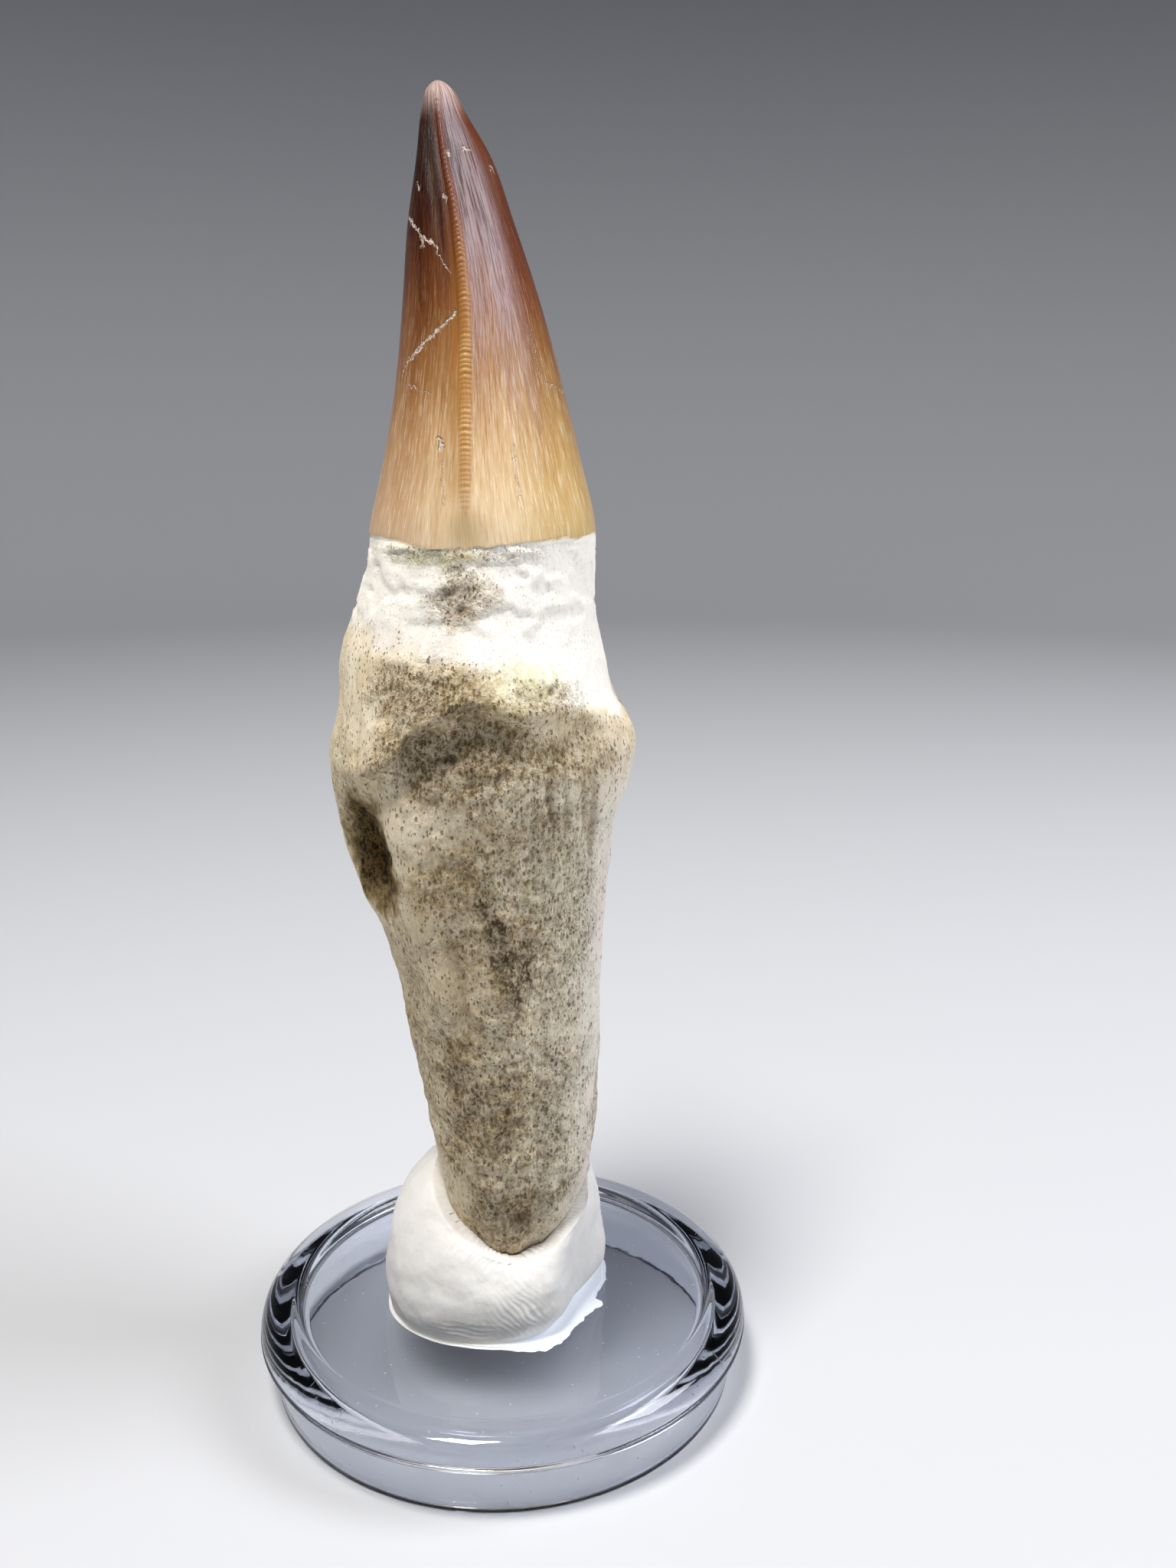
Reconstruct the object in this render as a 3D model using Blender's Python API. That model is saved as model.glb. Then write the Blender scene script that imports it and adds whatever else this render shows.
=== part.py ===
"""A fossil mosasaur tooth standing in a lump of putty on the clear lid of a round box.

The tooth is one grown piece, crown and root together. The putty is pressed round the end of the
root and holds it upright. The lid lies skirt down and is the foot of the whole.
Z is up, the tooth's front cutting edge faces -Y, and the origin is the middle of the lid's foot.
"""

import math

import bmesh
import bpy
import numpy as np
from mathutils import Vector, noise

MM = 0.001

# The gap that pieces keep where they touch, in mm
FIT_GAP = 0.3

# The lid, in mm
LID_RADIUS = 20.0
LID_TOP = 6.7
LID_FLOOR = 5.9
LID_FLOOR_THICKNESS = 1.0
LID_RIM_INNER_RADIUS = 17.0
LID_RIM_STEP = 0.4
LID_SHOULDER_RADIUS = 2.3
LID_SHOULDER_STEPS = 5
LID_FLANGE_UNDERSIDE = 4.2
LID_SKIRT_RADIUS = 18.8
LID_SKIRT_THICKNESS = 1.2
LID_SEGMENTS = 64

# The tooth, in mm: for each height, where its left, right, front and back sides are, where the
# front cutting edge runs, and how keen the front and back edges are (0.5 is an oval)
TOOTH_SECTIONS = (
    (9.6, -3.2, 4.2, -3.9, 4.1, 0.6, 0.50),
    (13.0, -4.1, 5.4, -5.0, 5.2, 0.7, 0.50),
    (18.0, -5.1, 7.1, -6.4, 6.7, 0.9, 0.48),
    (25.0, -6.1, 7.9, -7.6, 8.2, 0.7, 0.47),
    (32.0, -7.3, 8.1, -8.6, 9.4, 0.2, 0.46),
    (36.0, -8.1, 8.3, -9.2, 10.1, -0.2, 0.46),
    (40.0, -9.5, 8.6, -9.8, 10.8, -0.8, 0.47),
    (44.0, -11.2, 8.8, -10.5, 11.5, -1.3, 0.48),
    (48.0, -12.1, 9.2, -11.2, 12.0, -1.5, 0.49),
    (50.5, -12.5, 10.1, -11.6, 12.2, -1.3, 0.50),
    (53.0, -12.2, 10.6, -11.8, 12.3, -1.0, 0.50),
    (56.5, -11.6, 8.9, -11.6, 12.1, -1.4, 0.50),
    (60.0, -11.3, 8.2, -10.8, 11.5, -1.6, 0.50),
    (63.0, -10.2, 7.7, -10.1, 10.8, -1.2, 0.50),
    (66.0, -9.15, 7.5, -9.6, 10.2, -1.1, 0.51),
    (69.0, -8.75, 7.45, -9.2, 9.8, -1.2, 0.54),
    (73.0, -7.8, 6.55, -8.1, 9.3, -1.2, 0.58),
    (78.5, -6.75, 5.15, -6.3, 8.6, -1.2, 0.61),
    (84.5, -6.1, 3.5, -4.1, 7.7, -1.3, 0.63),
    (90.0, -5.65, 1.65, -1.6, 6.6, -2.0, 0.63),
    (94.5, -5.0, 0.2, 0.8, 5.8, -2.8, 0.61),
    (97.5, -4.95, -1.6, 2.5, 5.2, -3.3, 0.56),
    (99.6, -4.8, -2.7, 3.4, 5.0, -3.7, 0.50),
)
TIP_ROUNDING = 1.2
ROOT_END_ROUNDING = 3.4
CROWN_BASE = 68.4
CARINA_TOP = 97.5
CARINA_HEIGHT = 0.35
BACK_CARINA_HEIGHT = 0.2
TOOTH_COLUMNS = 48
ROOT_ROWS = 34
CROWN_ROWS = 17
END_ROWS = 4

# The ledge round the front of the root: its crest's path, X and height in mm
LEDGE_X = (-9.0, -6.1, -5.2, -3.6, -0.8, 1.8, 6.4, 10.2)
LEDGE_Z = (52.5, 54.4, 56.0, 57.0, 58.6, 57.4, 57.0, 54.8)
LEDGE_HEIGHT = 0.9
LEDGE_SLOPE_ABOVE = 3.6
LEDGE_SLOPE_BELOW = 1.2
LEDGE_HOLLOW = 0.6
LEDGE_HOLLOW_DROP = 2.8
LEDGE_HOLLOW_REACH = 1.7

# The hollow that a growing tooth leaves in the root's left side
PIT_TURN = -56.0
PIT_HALF_TURN = 26.0
PIT_Z = 45.9
PIT_HALF_HEIGHT = 5.4
PIT_DEPTH = 2.6
PIT_RIDGE_TOP = (-6.8, 53.0)
PIT_RIDGE_FOOT = (-3.6, 36.0)
PIT_RIDGE_HEIGHT = 0.6
PIT_RIDGE_WIDTH = 1.1

# Long shallow furrows down the lower root: turn from the front, half width, depth
FURROWS = ((22.0, 9.0, 0.4), (84.0, 12.0, 0.35), (128.0, 9.0, 0.6), (168.0, 12.0, 0.9), (-150.0, 10.0, 0.7))
FURROW_TOP = 50.0
LUMP_SPACING = 7.0
LUMP_HEIGHT = 0.3

# The putty, in mm: its widest outline as turns from the front and distances from its middle, how
# high its rim stands at front, right, back and left, and how broad the rounded lip is
PUTTY_MIDDLE = (-0.5, 0.0)
PUTTY_OUTLINE = (
    (-99.0, 9.1),
    (-69.0, 9.2),
    (-36.0, 8.6),
    (-2.0, 8.0),
    (32.0, 8.4),
    (66.0, 7.6),
    (98.0, 8.8),
    (124.0, 10.0),
    (150.0, 9.7),
    (177.0, 8.8),
    (216.0, 9.2),
)
PUTTY_RIM_FRONT = 12.7
PUTTY_RIM_RIGHT = 15.6
PUTTY_RIM_BACK = 15.4
PUTTY_RIM_LEFT = 17.2
PUTTY_LIP = 1.4
PUTTY_WIDEST = 7.6
PUTTY_TUCK = 0.3
PUTTY_TUCK_RIGHT = 1.0
PUTTY_COLUMNS = 40
PUTTY_ROWS = 7


def clear_scene():
    for old in list(bpy.data.objects):
        bpy.data.objects.remove(old, do_unlink=True)


def plain_material(name, colour, roughness, transmission=0.0, ior=1.5):
    material = bpy.data.materials.new(name)
    material.use_nodes = True
    material.diffuse_color = (*colour, 1.0)
    shader = material.node_tree.nodes["Principled BSDF"]
    shader.inputs["Base Color"].default_value = (*colour, 1.0)
    shader.inputs["Roughness"].default_value = roughness
    shader.inputs["Metallic"].default_value = 0.0
    shader.inputs["Transmission Weight"].default_value = transmission
    shader.inputs["IOR"].default_value = ior
    return material


def add_object(name, mesh, material):
    mesh.materials.append(material)
    thing = bpy.data.objects.new(name, mesh)
    bpy.context.scene.collection.objects.link(thing)
    return thing


def smooth_through(heights, values, z):
    """Reads a smooth curve through the points (height, value) at z."""
    slopes = np.gradient(values, heights)
    i = int(np.clip(np.searchsorted(heights, z) - 1, 0, len(heights) - 2))
    span = heights[i + 1] - heights[i]
    t = (np.clip(z, heights[0], heights[-1]) - heights[i]) / span
    rise = 3 * t**2 - 2 * t**3
    ease_out = t * (1 - t) ** 2
    ease_in = t**2 * (t - 1)
    curve = values[i] * (1 - rise) + values[i + 1] * rise
    return curve + span * (slopes[i] * ease_out + slopes[i + 1] * ease_in)


def section_at(z):
    """The tooth's section at height z: left, right, front, back, front edge and keenness."""
    table = np.array(TOOTH_SECTIONS)
    return [smooth_through(table[:, 0], table[:, column], z) for column in range(1, table.shape[1])]


def end_rounding(z):
    """How far the section has narrowed at height z towards the tip or the root's end, from 1 to 0."""
    bottom = TOOTH_SECTIONS[0][0]
    top = TOOTH_SECTIONS[-1][0]
    share = min((z - bottom) / ROOT_END_ROUNDING, (top - z) / TIP_ROUNDING, 1.0)
    return math.sqrt(max(0.0, 1.0 - (1.0 - share) ** 2))


def bump(distance, reach):
    return math.exp(-((distance / reach) ** 2))


def turn_between(a, b):
    """The turn from b to a in degrees, within half a turn either way."""
    return (a - b + 180.0) % 360.0 - 180.0


def ledge_relief(x, z, turn):
    height = z - float(np.interp(x, LEDGE_X, LEDGE_Z))
    crest = LEDGE_HEIGHT * bump(height, LEDGE_SLOPE_ABOVE if height > 0 else LEDGE_SLOPE_BELOW)
    hollow = LEDGE_HOLLOW * bump(height + LEDGE_HOLLOW_DROP, LEDGE_HOLLOW_REACH)
    front = bump(turn_between(turn, 5.0), 62.0)
    return (crest - hollow) * front


def pit_relief(x, z, turn):
    across = turn_between(turn, PIT_TURN) / PIT_HALF_TURN
    up = (z - PIT_Z) / PIT_HALF_HEIGHT
    inside = max(0.0, 1.0 - across**2 - up**2)
    hollow = PIT_DEPTH * inside**1.3
    top_x, top_z = PIT_RIDGE_TOP
    foot_x, foot_z = PIT_RIDGE_FOOT
    along = min(max((z - foot_z) / (top_z - foot_z), 0.0), 1.0)
    line_x = foot_x + (top_x - foot_x) * along
    off_line = math.hypot(x - line_x, max(0.0, z - top_z, foot_z - z) * 0.4)
    ridge = PIT_RIDGE_HEIGHT * bump(off_line, PIT_RIDGE_WIDTH)
    return (ridge if abs(turn) < 90.0 else 0.0) - hollow


def furrow_relief(z, turn):
    fade = min(max((FURROW_TOP - z) / 12.0, 0.0), 1.0)
    depth = sum(deep * bump(turn_between(turn, at), reach) for at, reach, deep in FURROWS)
    return -depth * fade


def root_relief(x, y, z, turn):
    """How far the root's surface stands out from its plain section, in mm."""
    lumps = LUMP_HEIGHT * noise.noise(Vector((x, y, z * 0.6)) / LUMP_SPACING)
    below_crown = min(max((CROWN_BASE - 1.0 - z) / 3.0, 0.0), 1.0)
    return below_crown * (ledge_relief(x, z, turn) + pit_relief(x, z, turn) + furrow_relief(z, turn) + lumps)


def carina_relief(z, turn):
    """The cutting edges that run up the crown's front and back, in mm."""
    fade = min(max((z - CROWN_BASE) / 1.5, 0.0), 1.0) * min(max((CARINA_TOP - z) / 3.0, 0.0), 1.0)
    front = CARINA_HEIGHT if abs(turn) < 1.0 else 0.0
    back = BACK_CARINA_HEIGHT if abs(turn) > 179.0 else 0.0
    return fade * (front + back)


def tooth_point(turn, z, grow=0.0):
    """The tooth's surface at a height in mm and a turn in degrees from the front, right being 90."""
    left, right, front, back, edge, keenness = section_at(z)
    round_off = end_rounding(z)
    sine = math.sin(math.radians(turn))
    cosine = math.cos(math.radians(turn))
    half_width = (right - left) / 2 * round_off
    half_depth = (back - front) / 2 * round_off
    middle_x = (left + right) / 2
    middle_y = (front + back) / 2
    x = math.copysign(half_width * abs(sine) ** (2 * keenness), sine)
    x += (edge - middle_x) * max(0.0, cosine) ** 2 * round_off
    y = -half_depth * cosine
    outward = Vector((x, y)).normalized() if round_off > 0 else Vector((0.0, 0.0))
    relief = root_relief(x + middle_x, y + middle_y, z, turn) + carina_relief(z, turn)
    place = Vector((x, y)) + outward * (relief * round_off + grow)
    return Vector((place.x + middle_x, place.y + middle_y, z))


def ring_faces(mesh, rings):
    for lower, upper in zip(rings, rings[1:]):
        count = len(lower)
        for i in range(count):
            j = (i + 1) % count
            mesh.faces.new((lower[i], lower[j], upper[j], upper[i]))


def close_ring(mesh, ring, point, upward):
    """Closes a ring with a fan of triangles to one point."""
    centre = mesh.verts.new(point)
    for i, corner in enumerate(ring):
        following = ring[(i + 1) % len(ring)]
        mesh.faces.new((corner, following, centre) if upward else (following, corner, centre))


def finish_mesh(mesh, name, sharp_angle):
    bmesh.ops.recalc_face_normals(mesh, faces=mesh.faces)
    data = bpy.data.meshes.new(name)
    mesh.to_mesh(data)
    mesh.free()
    data.shade_smooth()
    data.set_sharp_from_angle(angle=math.radians(sharp_angle))
    return data


def tooth_heights(top):
    """The heights of the tooth's rings, close together where its two ends round over."""
    root_end = TOOTH_SECTIONS[0][0]
    tip = TOOTH_SECTIONS[-1][0]
    turns = np.linspace(0.0, math.pi / 2, END_ROWS + 1)[1:]
    heights = [root_end + ROOT_END_ROUNDING * (1 - math.cos(a)) for a in turns]
    heights += list(np.linspace(heights[-1], CROWN_BASE, ROOT_ROWS + 1)[1:])
    heights += list(np.linspace(CROWN_BASE, tip - TIP_ROUNDING, CROWN_ROWS + 1)[1:])
    heights += [tip - TIP_ROUNDING * (1 - math.cos(a)) for a in reversed(turns[:-1])]
    return [z for z in heights if z <= top]


def tooth_mesh(name, grow=0.0, top=math.inf):
    """The tooth, or its lower part up to the height top, grown outwards by some mm."""
    mesh = bmesh.new()
    turns = [360.0 * i / TOOTH_COLUMNS for i in range(TOOTH_COLUMNS)]
    turns = [turn_between(turn, 0.0) for turn in turns]
    heights = tooth_heights(top)
    rings = []
    for z in heights:
        drop = grow if z < heights[0] + ROOT_END_ROUNDING else 0.0
        places = [tooth_point(turn, z, grow) - Vector((0.0, 0.0, drop)) for turn in turns]
        rings.append([mesh.verts.new(place * MM) for place in places])
    ring_faces(mesh, rings)
    end = TOOTH_SECTIONS[0]
    tip = TOOTH_SECTIONS[-1]
    end_point = Vector(((end[1] + end[2]) / 2, (end[3] + end[4]) / 2, end[0] - grow))
    tip_point = Vector(((tip[1] + tip[2]) / 2, (tip[3] + tip[4]) / 2, tip[0] + grow))
    if top < tip[0]:
        tip_point = Vector((end_point.x, end_point.y, heights[-1]))
    close_ring(mesh, rings[0], end_point * MM, upward=False)
    close_ring(mesh, rings[-1], tip_point * MM, upward=True)
    return finish_mesh(mesh, name, 50.0)


def putty_rim_height(turn):
    """The height of the putty's rim, which dips in front and is highest at the left."""
    angle = math.radians(turn)
    mean = (PUTTY_RIM_FRONT + PUTTY_RIM_RIGHT + PUTTY_RIM_BACK + PUTTY_RIM_LEFT) / 4
    front = (PUTTY_RIM_FRONT - PUTTY_RIM_BACK) / 2
    right = (PUTTY_RIM_RIGHT - PUTTY_RIM_LEFT) / 2
    saddle = (PUTTY_RIM_FRONT + PUTTY_RIM_BACK - PUTTY_RIM_RIGHT - PUTTY_RIM_LEFT) / 4
    return mean + front * math.cos(angle) + right * math.sin(angle) + saddle * math.cos(2 * angle)


def putty_outline(turn):
    """The putty's widest outline at a turn in degrees from the front, right being 90."""
    turns = np.array([at for at, _ in PUTTY_OUTLINE])
    reaches = np.array([reach for _, reach in PUTTY_OUTLINE])
    turns = np.concatenate((turns - 360.0, turns, turns + 360.0))
    reach = smooth_through(turns, np.tile(reaches, 3), turn)
    angle = math.radians(turn)
    x, y = PUTTY_MIDDLE
    return Vector((x + reach * math.sin(angle), y - reach * math.cos(angle), 0.0))


def putty_column(turn, bottom):
    """One upright line of points, from the foot over the swell of the side to the lip and inwards."""
    side = putty_outline(turn)
    top = putty_rim_height(turn)
    root = tooth_point(turn, top)
    centre = Vector((*PUTTY_MIDDLE, 0.0))
    outward = Vector((root.x - centre.x, root.y - centre.y, 0.0)).normalized()
    lip = Vector((root.x, root.y, 0.0)) + outward * (FIT_GAP + PUTTY_LIP)
    tuck = PUTTY_TUCK + PUTTY_TUCK_RIGHT * max(0.0, math.sin(math.radians(turn)))
    foot = side + (centre - side).normalized() * tuck
    points = [foot + Vector((0.0, 0.0, bottom))]
    for step in range(PUTTY_ROWS + 1):
        angle = math.pi / 2 * step / PUTTY_ROWS
        place = lip + (side - lip) * math.cos(angle)
        points.append(Vector((place.x, place.y, PUTTY_WIDEST + (top - PUTTY_WIDEST) * math.sin(angle))))
    points.append(Vector((root.x, root.y, top - PUTTY_LIP)) - outward * PUTTY_LIP)
    return points


def putty_mesh():
    bottom = LID_FLOOR + FIT_GAP
    mesh = bmesh.new()
    turns = [turn_between(360.0 * i / PUTTY_COLUMNS, 0.0) for i in range(PUTTY_COLUMNS)]
    columns = [[mesh.verts.new(point * MM) for point in putty_column(turn, bottom)] for turn in turns]
    rings = [list(ring) for ring in zip(*columns)]
    ring_faces(mesh, rings)
    mesh.faces.new(list(reversed(rings[0])))
    close_ring(mesh, rings[-1], Vector((0.0, 0.0, PUTTY_RIM_FRONT - PUTTY_LIP)) * MM, upward=True)
    return finish_mesh(mesh, "mounting_putty", 60.0)


def lid_profile():
    """The lid's section from the middle of its floor, over the rim and down to the hollow below."""
    shoulder = [math.pi / 2 * i / LID_SHOULDER_STEPS for i in range(LID_SHOULDER_STEPS + 1)]
    centre_r = LID_RADIUS - LID_SHOULDER_RADIUS
    centre_z = LID_TOP - LID_SHOULDER_RADIUS
    points = [(0.0, LID_FLOOR), (LID_RIM_INNER_RADIUS - LID_RIM_STEP, LID_FLOOR)]
    points += [(LID_RIM_INNER_RADIUS, LID_TOP - LID_RIM_STEP), (LID_RIM_INNER_RADIUS + LID_RIM_STEP / 2, LID_TOP)]
    for angle in shoulder:
        points.append(
            (centre_r + LID_SHOULDER_RADIUS * math.sin(angle), centre_z + LID_SHOULDER_RADIUS * math.cos(angle))
        )
    points += [(LID_RADIUS, LID_FLANGE_UNDERSIDE), (LID_SKIRT_RADIUS, LID_FLANGE_UNDERSIDE), (LID_SKIRT_RADIUS, 0.0)]
    inner = LID_SKIRT_RADIUS - LID_SKIRT_THICKNESS
    ceiling = LID_FLOOR - LID_FLOOR_THICKNESS
    return points + [(inner, 0.0), (inner, ceiling), (0.0, ceiling)]


def make_tooth():
    material = plain_material("fossil_enamel_and_root", (0.62, 0.50, 0.38), 0.55)
    return add_object("tooth", tooth_mesh("tooth"), material)


def make_putty():
    putty = add_object("mounting_putty", putty_mesh(), plain_material("ivory_putty", (0.80, 0.76, 0.68), 0.7))
    socket_mesh = tooth_mesh("root_socket", grow=FIT_GAP, top=PUTTY_RIM_LEFT + 4.0)
    socket = bpy.data.objects.new("root_socket", socket_mesh)
    bpy.context.scene.collection.objects.link(socket)
    socket.hide_render = True
    socket.display_type = "WIRE"
    cut = putty.modifiers.new("socket for the root", "BOOLEAN")
    cut.operation = "DIFFERENCE"
    cut.solver = "EXACT"
    cut.object = socket
    return putty


def make_lid():
    profile = lid_profile()
    mesh = bpy.data.meshes.new("display_disc")
    edges = [(i, i + 1) for i in range(len(profile) - 1)]
    mesh.from_pydata([(r * MM, 0.0, z * MM) for r, z in profile], edges, [])
    lid = add_object("display_disc", mesh, plain_material("clear_plastic", (0.90, 0.92, 0.96), 0.05, 1.0))
    turn = lid.modifiers.new("turned round its axis", "SCREW")
    turn.steps = LID_SEGMENTS
    turn.render_steps = LID_SEGMENTS
    turn.use_merge_vertices = True
    turn.merge_threshold = 0.00002
    turn.use_smooth_shade = True
    return lid


clear_scene()
make_lid()
make_putty()
make_tooth()
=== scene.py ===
"""The looks of a fossil mosasaur tooth that stands in a lump of putty on a clear round lid.

The sections follow the order in which the thing is put together: the lid, the putty pressed on
it, the tooth pushed into the putty, and last the studio with its floor, lights and camera.
Lengths are in mm, and MM turns them into metres.
"""
import math

import bpy
import numpy as np
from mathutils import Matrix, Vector, noise


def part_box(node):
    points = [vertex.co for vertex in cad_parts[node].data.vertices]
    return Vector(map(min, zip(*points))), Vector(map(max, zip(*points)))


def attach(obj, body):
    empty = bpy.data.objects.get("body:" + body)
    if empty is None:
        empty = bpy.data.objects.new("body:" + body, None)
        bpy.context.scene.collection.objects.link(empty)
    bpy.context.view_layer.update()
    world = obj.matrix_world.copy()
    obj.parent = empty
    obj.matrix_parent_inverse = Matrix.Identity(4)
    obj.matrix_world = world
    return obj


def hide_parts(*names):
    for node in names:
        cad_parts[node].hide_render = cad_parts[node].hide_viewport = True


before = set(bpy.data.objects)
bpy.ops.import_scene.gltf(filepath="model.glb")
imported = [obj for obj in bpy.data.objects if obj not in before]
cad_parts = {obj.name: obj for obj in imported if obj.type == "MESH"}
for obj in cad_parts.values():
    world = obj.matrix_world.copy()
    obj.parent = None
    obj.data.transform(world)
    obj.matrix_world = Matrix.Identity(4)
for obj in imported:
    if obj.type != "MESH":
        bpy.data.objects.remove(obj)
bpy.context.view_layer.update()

# The lid
# The clear plastic lid of a round specimen box, moulded in one shot: a rounded flange over a
# plain skirt. It lies skirt down, and its recessed top is the floor that the putty sticks to.

MM = 0.001
_, lid_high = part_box("display_disc")
LID_RADIUS = lid_high[0] / MM
LID_TOP = lid_high[2] / MM
LID_FLOOR = 5.9
LID_CEILING = 4.9
LID_RIM_RADIUS = 16.9
LID_FLANGE_UNDERSIDE = 4.2
LID_SKIRT_RADIUS = 18.8
LID_SKIRT_INSIDE = 17.6
LID_COLUMNS = 288
# The outline from the recess to the underside, as radius, height and rounding of each corner.
LID_CORNERS = (
    (LID_RIM_RADIUS - 0.5, LID_FLOOR, 0.35),
    (LID_RIM_RADIUS, LID_TOP, 0.45),
    (LID_RADIUS, LID_TOP, 2.2),
    (LID_RADIUS, LID_FLANGE_UNDERSIDE, 0.35),
    (LID_SKIRT_RADIUS, LID_FLANGE_UNDERSIDE, 0.2),
    (LID_SKIRT_RADIUS, 0.0, 0.3),
    (LID_SKIRT_INSIDE, 0.0, 0.3),
    (LID_SKIRT_INSIDE, LID_CEILING, 0.5),
)
CORNER_STEPS = 7
LID_IOR = 1.52
LID_TINT = (206, 218, 255)
LID_TINT_DENSITY = 30.0
LID_ROUGHNESS = 0.015
SMEAR_ROUGHNESS = 0.05
DUST_ROUGHNESS = 0.25
RIPPLE_DEPTH = 0.05
SMEAR_LIMITS = (0.35, 0.7)
SPECK_LIMITS = (0.68, 0.78)


def tone(red, green, blue):
    """A colour as the eye reads it, 0 to 255, turned into the light values that shaders use."""
    return tuple((value / 255.0) ** 2.2 for value in (red, green, blue)) + (1.0,)


def wire(tree, socket, value):
    """Links a socket to a value, or sets it where the value is a plain number or colour."""
    if isinstance(value, bpy.types.NodeSocket):
        tree.links.new(value, socket)
    else:
        socket.default_value = value


def shader_node(tree, kind, wires=None, **settings):
    """Adds a shader node with its settings, and wires its inputs by their name or number."""
    made = tree.nodes.new("ShaderNode" + kind)
    for name, value in settings.items():
        setattr(made, name, value)
    for name, value in (wires or {}).items():
        wire(tree, made.inputs[name], value)
    return made


def calculate(tree, operation, *values, clamp=False):
    wires = dict(enumerate(values))
    return shader_node(tree, "Math", wires, operation=operation, use_clamp=clamp).outputs[0]


def times(tree, *values):
    """The product of all the values."""
    product = values[0]
    for value in values[1:]:
        product = calculate(tree, "MULTIPLY", product, value)
    return product


def scaled(tree, value, factor, start):
    return calculate(tree, "MULTIPLY_ADD", value, factor, start)


def vector_maths(tree, operation, first, second, output=0):
    wires = {0: first, 1: second}
    return shader_node(tree, "VectorMath", wires, operation=operation).outputs[output]


def lengthened(tree, vector, factor):
    wires = {0: vector, "Scale": factor}
    return shader_node(tree, "VectorMath", wires, operation="SCALE").outputs[0]


def along_axis(tree, vector, axis):
    return shader_node(tree, "SeparateXYZ", {0: vector}).outputs[axis]


def ramp_between(tree, value, low, high, to_low=0.0, to_high=1.0):
    """Eases from to_low to to_high as the value goes from low to high."""
    wires = {"Value": value, "From Min": low, "From Max": high, "To Min": to_low, "To Max": to_high}
    return shader_node(tree, "MapRange", wires, interpolation_type="SMOOTHSTEP").outputs[0]


def mix_colours(tree, share, first, second, blend="MIX"):
    settings = {"data_type": "RGBA", "blend_type": blend, "clamp_factor": True}
    return shader_node(tree, "Mix", {0: share, 6: first, 7: second}, **settings).outputs[2]


def glaze(tree, colour, paint, *shares):
    """Lays a paint over a colour, as strongly as the product of the shares."""
    return mix_colours(tree, times(tree, *shares), colour, paint)


def mix_numbers(tree, share, first, second):
    wires = {0: share, 2: first, 3: second}
    return shader_node(tree, "Mix", wires, data_type="FLOAT", clamp_factor=True).outputs[0]


def noise_value(tree, place, scale, detail=3.0, roughness=0.55, warp=0.0):
    wires = {"Vector": place, "Scale": scale, "Detail": detail}
    wires.update({"Roughness": roughness, "Distortion": warp})
    return shader_node(tree, "TexNoise", wires).outputs["Fac"]


def new_material(name):
    """A material with its own Principled shader, and the piece's own place in mm as coordinates."""
    made = bpy.data.materials.new(name)
    made.use_nodes = True
    tree = made.node_tree
    shader = tree.nodes["Principled BSDF"]
    where = shader_node(tree, "TexCoord").outputs["Object"]
    return made, tree, shader, lengthened(tree, where, 1.0 / MM)


def bump(tree, shader, height, depth_mm, strength=1.0):
    wires = {"Height": height, "Distance": depth_mm * MM, "Strength": strength}
    tree.links.new(shader_node(tree, "Bump", wires).outputs[0], shader.inputs["Normal"])


def new_group(name, inputs, outputs):
    """An effect with named inputs, as (kind, name, first value), and named outputs."""
    tree = bpy.data.node_groups.new(name, "ShaderNodeTree")
    for kind, label, value in inputs:
        socket = tree.interface.new_socket(label, in_out="INPUT", socket_type="NodeSocket" + kind)
        socket.default_value = value
    for kind, label in outputs:
        tree.interface.new_socket(label, in_out="OUTPUT", socket_type="NodeSocket" + kind)
    return tree, tree.nodes.new("NodeGroupInput").outputs, tree.nodes.new("NodeGroupOutput").inputs


def use_group(tree, group, wires):
    """Places an effect in a material, with the material's own values wired to it."""
    return shader_node(tree, "Group", wires, node_tree=group).outputs


def handling_group():
    """Finger smears and fine dust: a soft smear mask, and a fine grain of small specks."""
    inputs = (
        ("Vector", "Place", (0.0, 0.0, 0.0)),
        ("Float", "Smear Size", 4.0),
        ("Float", "Speck Size", 0.3),
    )
    tree, given, out = new_group("handling_marks", inputs, (("Float", "Smear"), ("Float", "Specks")))
    smear_scale = calculate(tree, "DIVIDE", 1.0, given["Smear Size"])
    speck_scale = calculate(tree, "DIVIDE", 1.0, given["Speck Size"])
    smear = noise_value(tree, given["Place"], smear_scale, 4.0, 0.6, 0.8)
    specks = noise_value(tree, given["Place"], speck_scale, 1.0)
    tree.links.new(ramp_between(tree, smear, *SMEAR_LIMITS), out["Smear"])
    tree.links.new(ramp_between(tree, specks, *SPECK_LIMITS), out["Specks"])
    return tree


def softened_outline(corners):
    """A line through corners given as (x, y, radius), each one rounded, without its two ends."""
    line = []
    places = [Vector((0.0, corners[0][1]))] + [Vector(corner[:2]) for corner in corners]
    places.append(Vector((0.0, corners[-1][1])))
    for before, corner, after, (_, _, radius) in zip(places, places[1:], places[2:], corners):
        start = corner + (before - corner).normalized() * radius
        end = corner + (after - corner).normalized() * radius
        for step in range(CORNER_STEPS + 1):
            t = step / CORNER_STEPS
            line.append(start * (1 - t) ** 2 + corner * 2 * t * (1 - t) + end * t**2)
    return line


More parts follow.
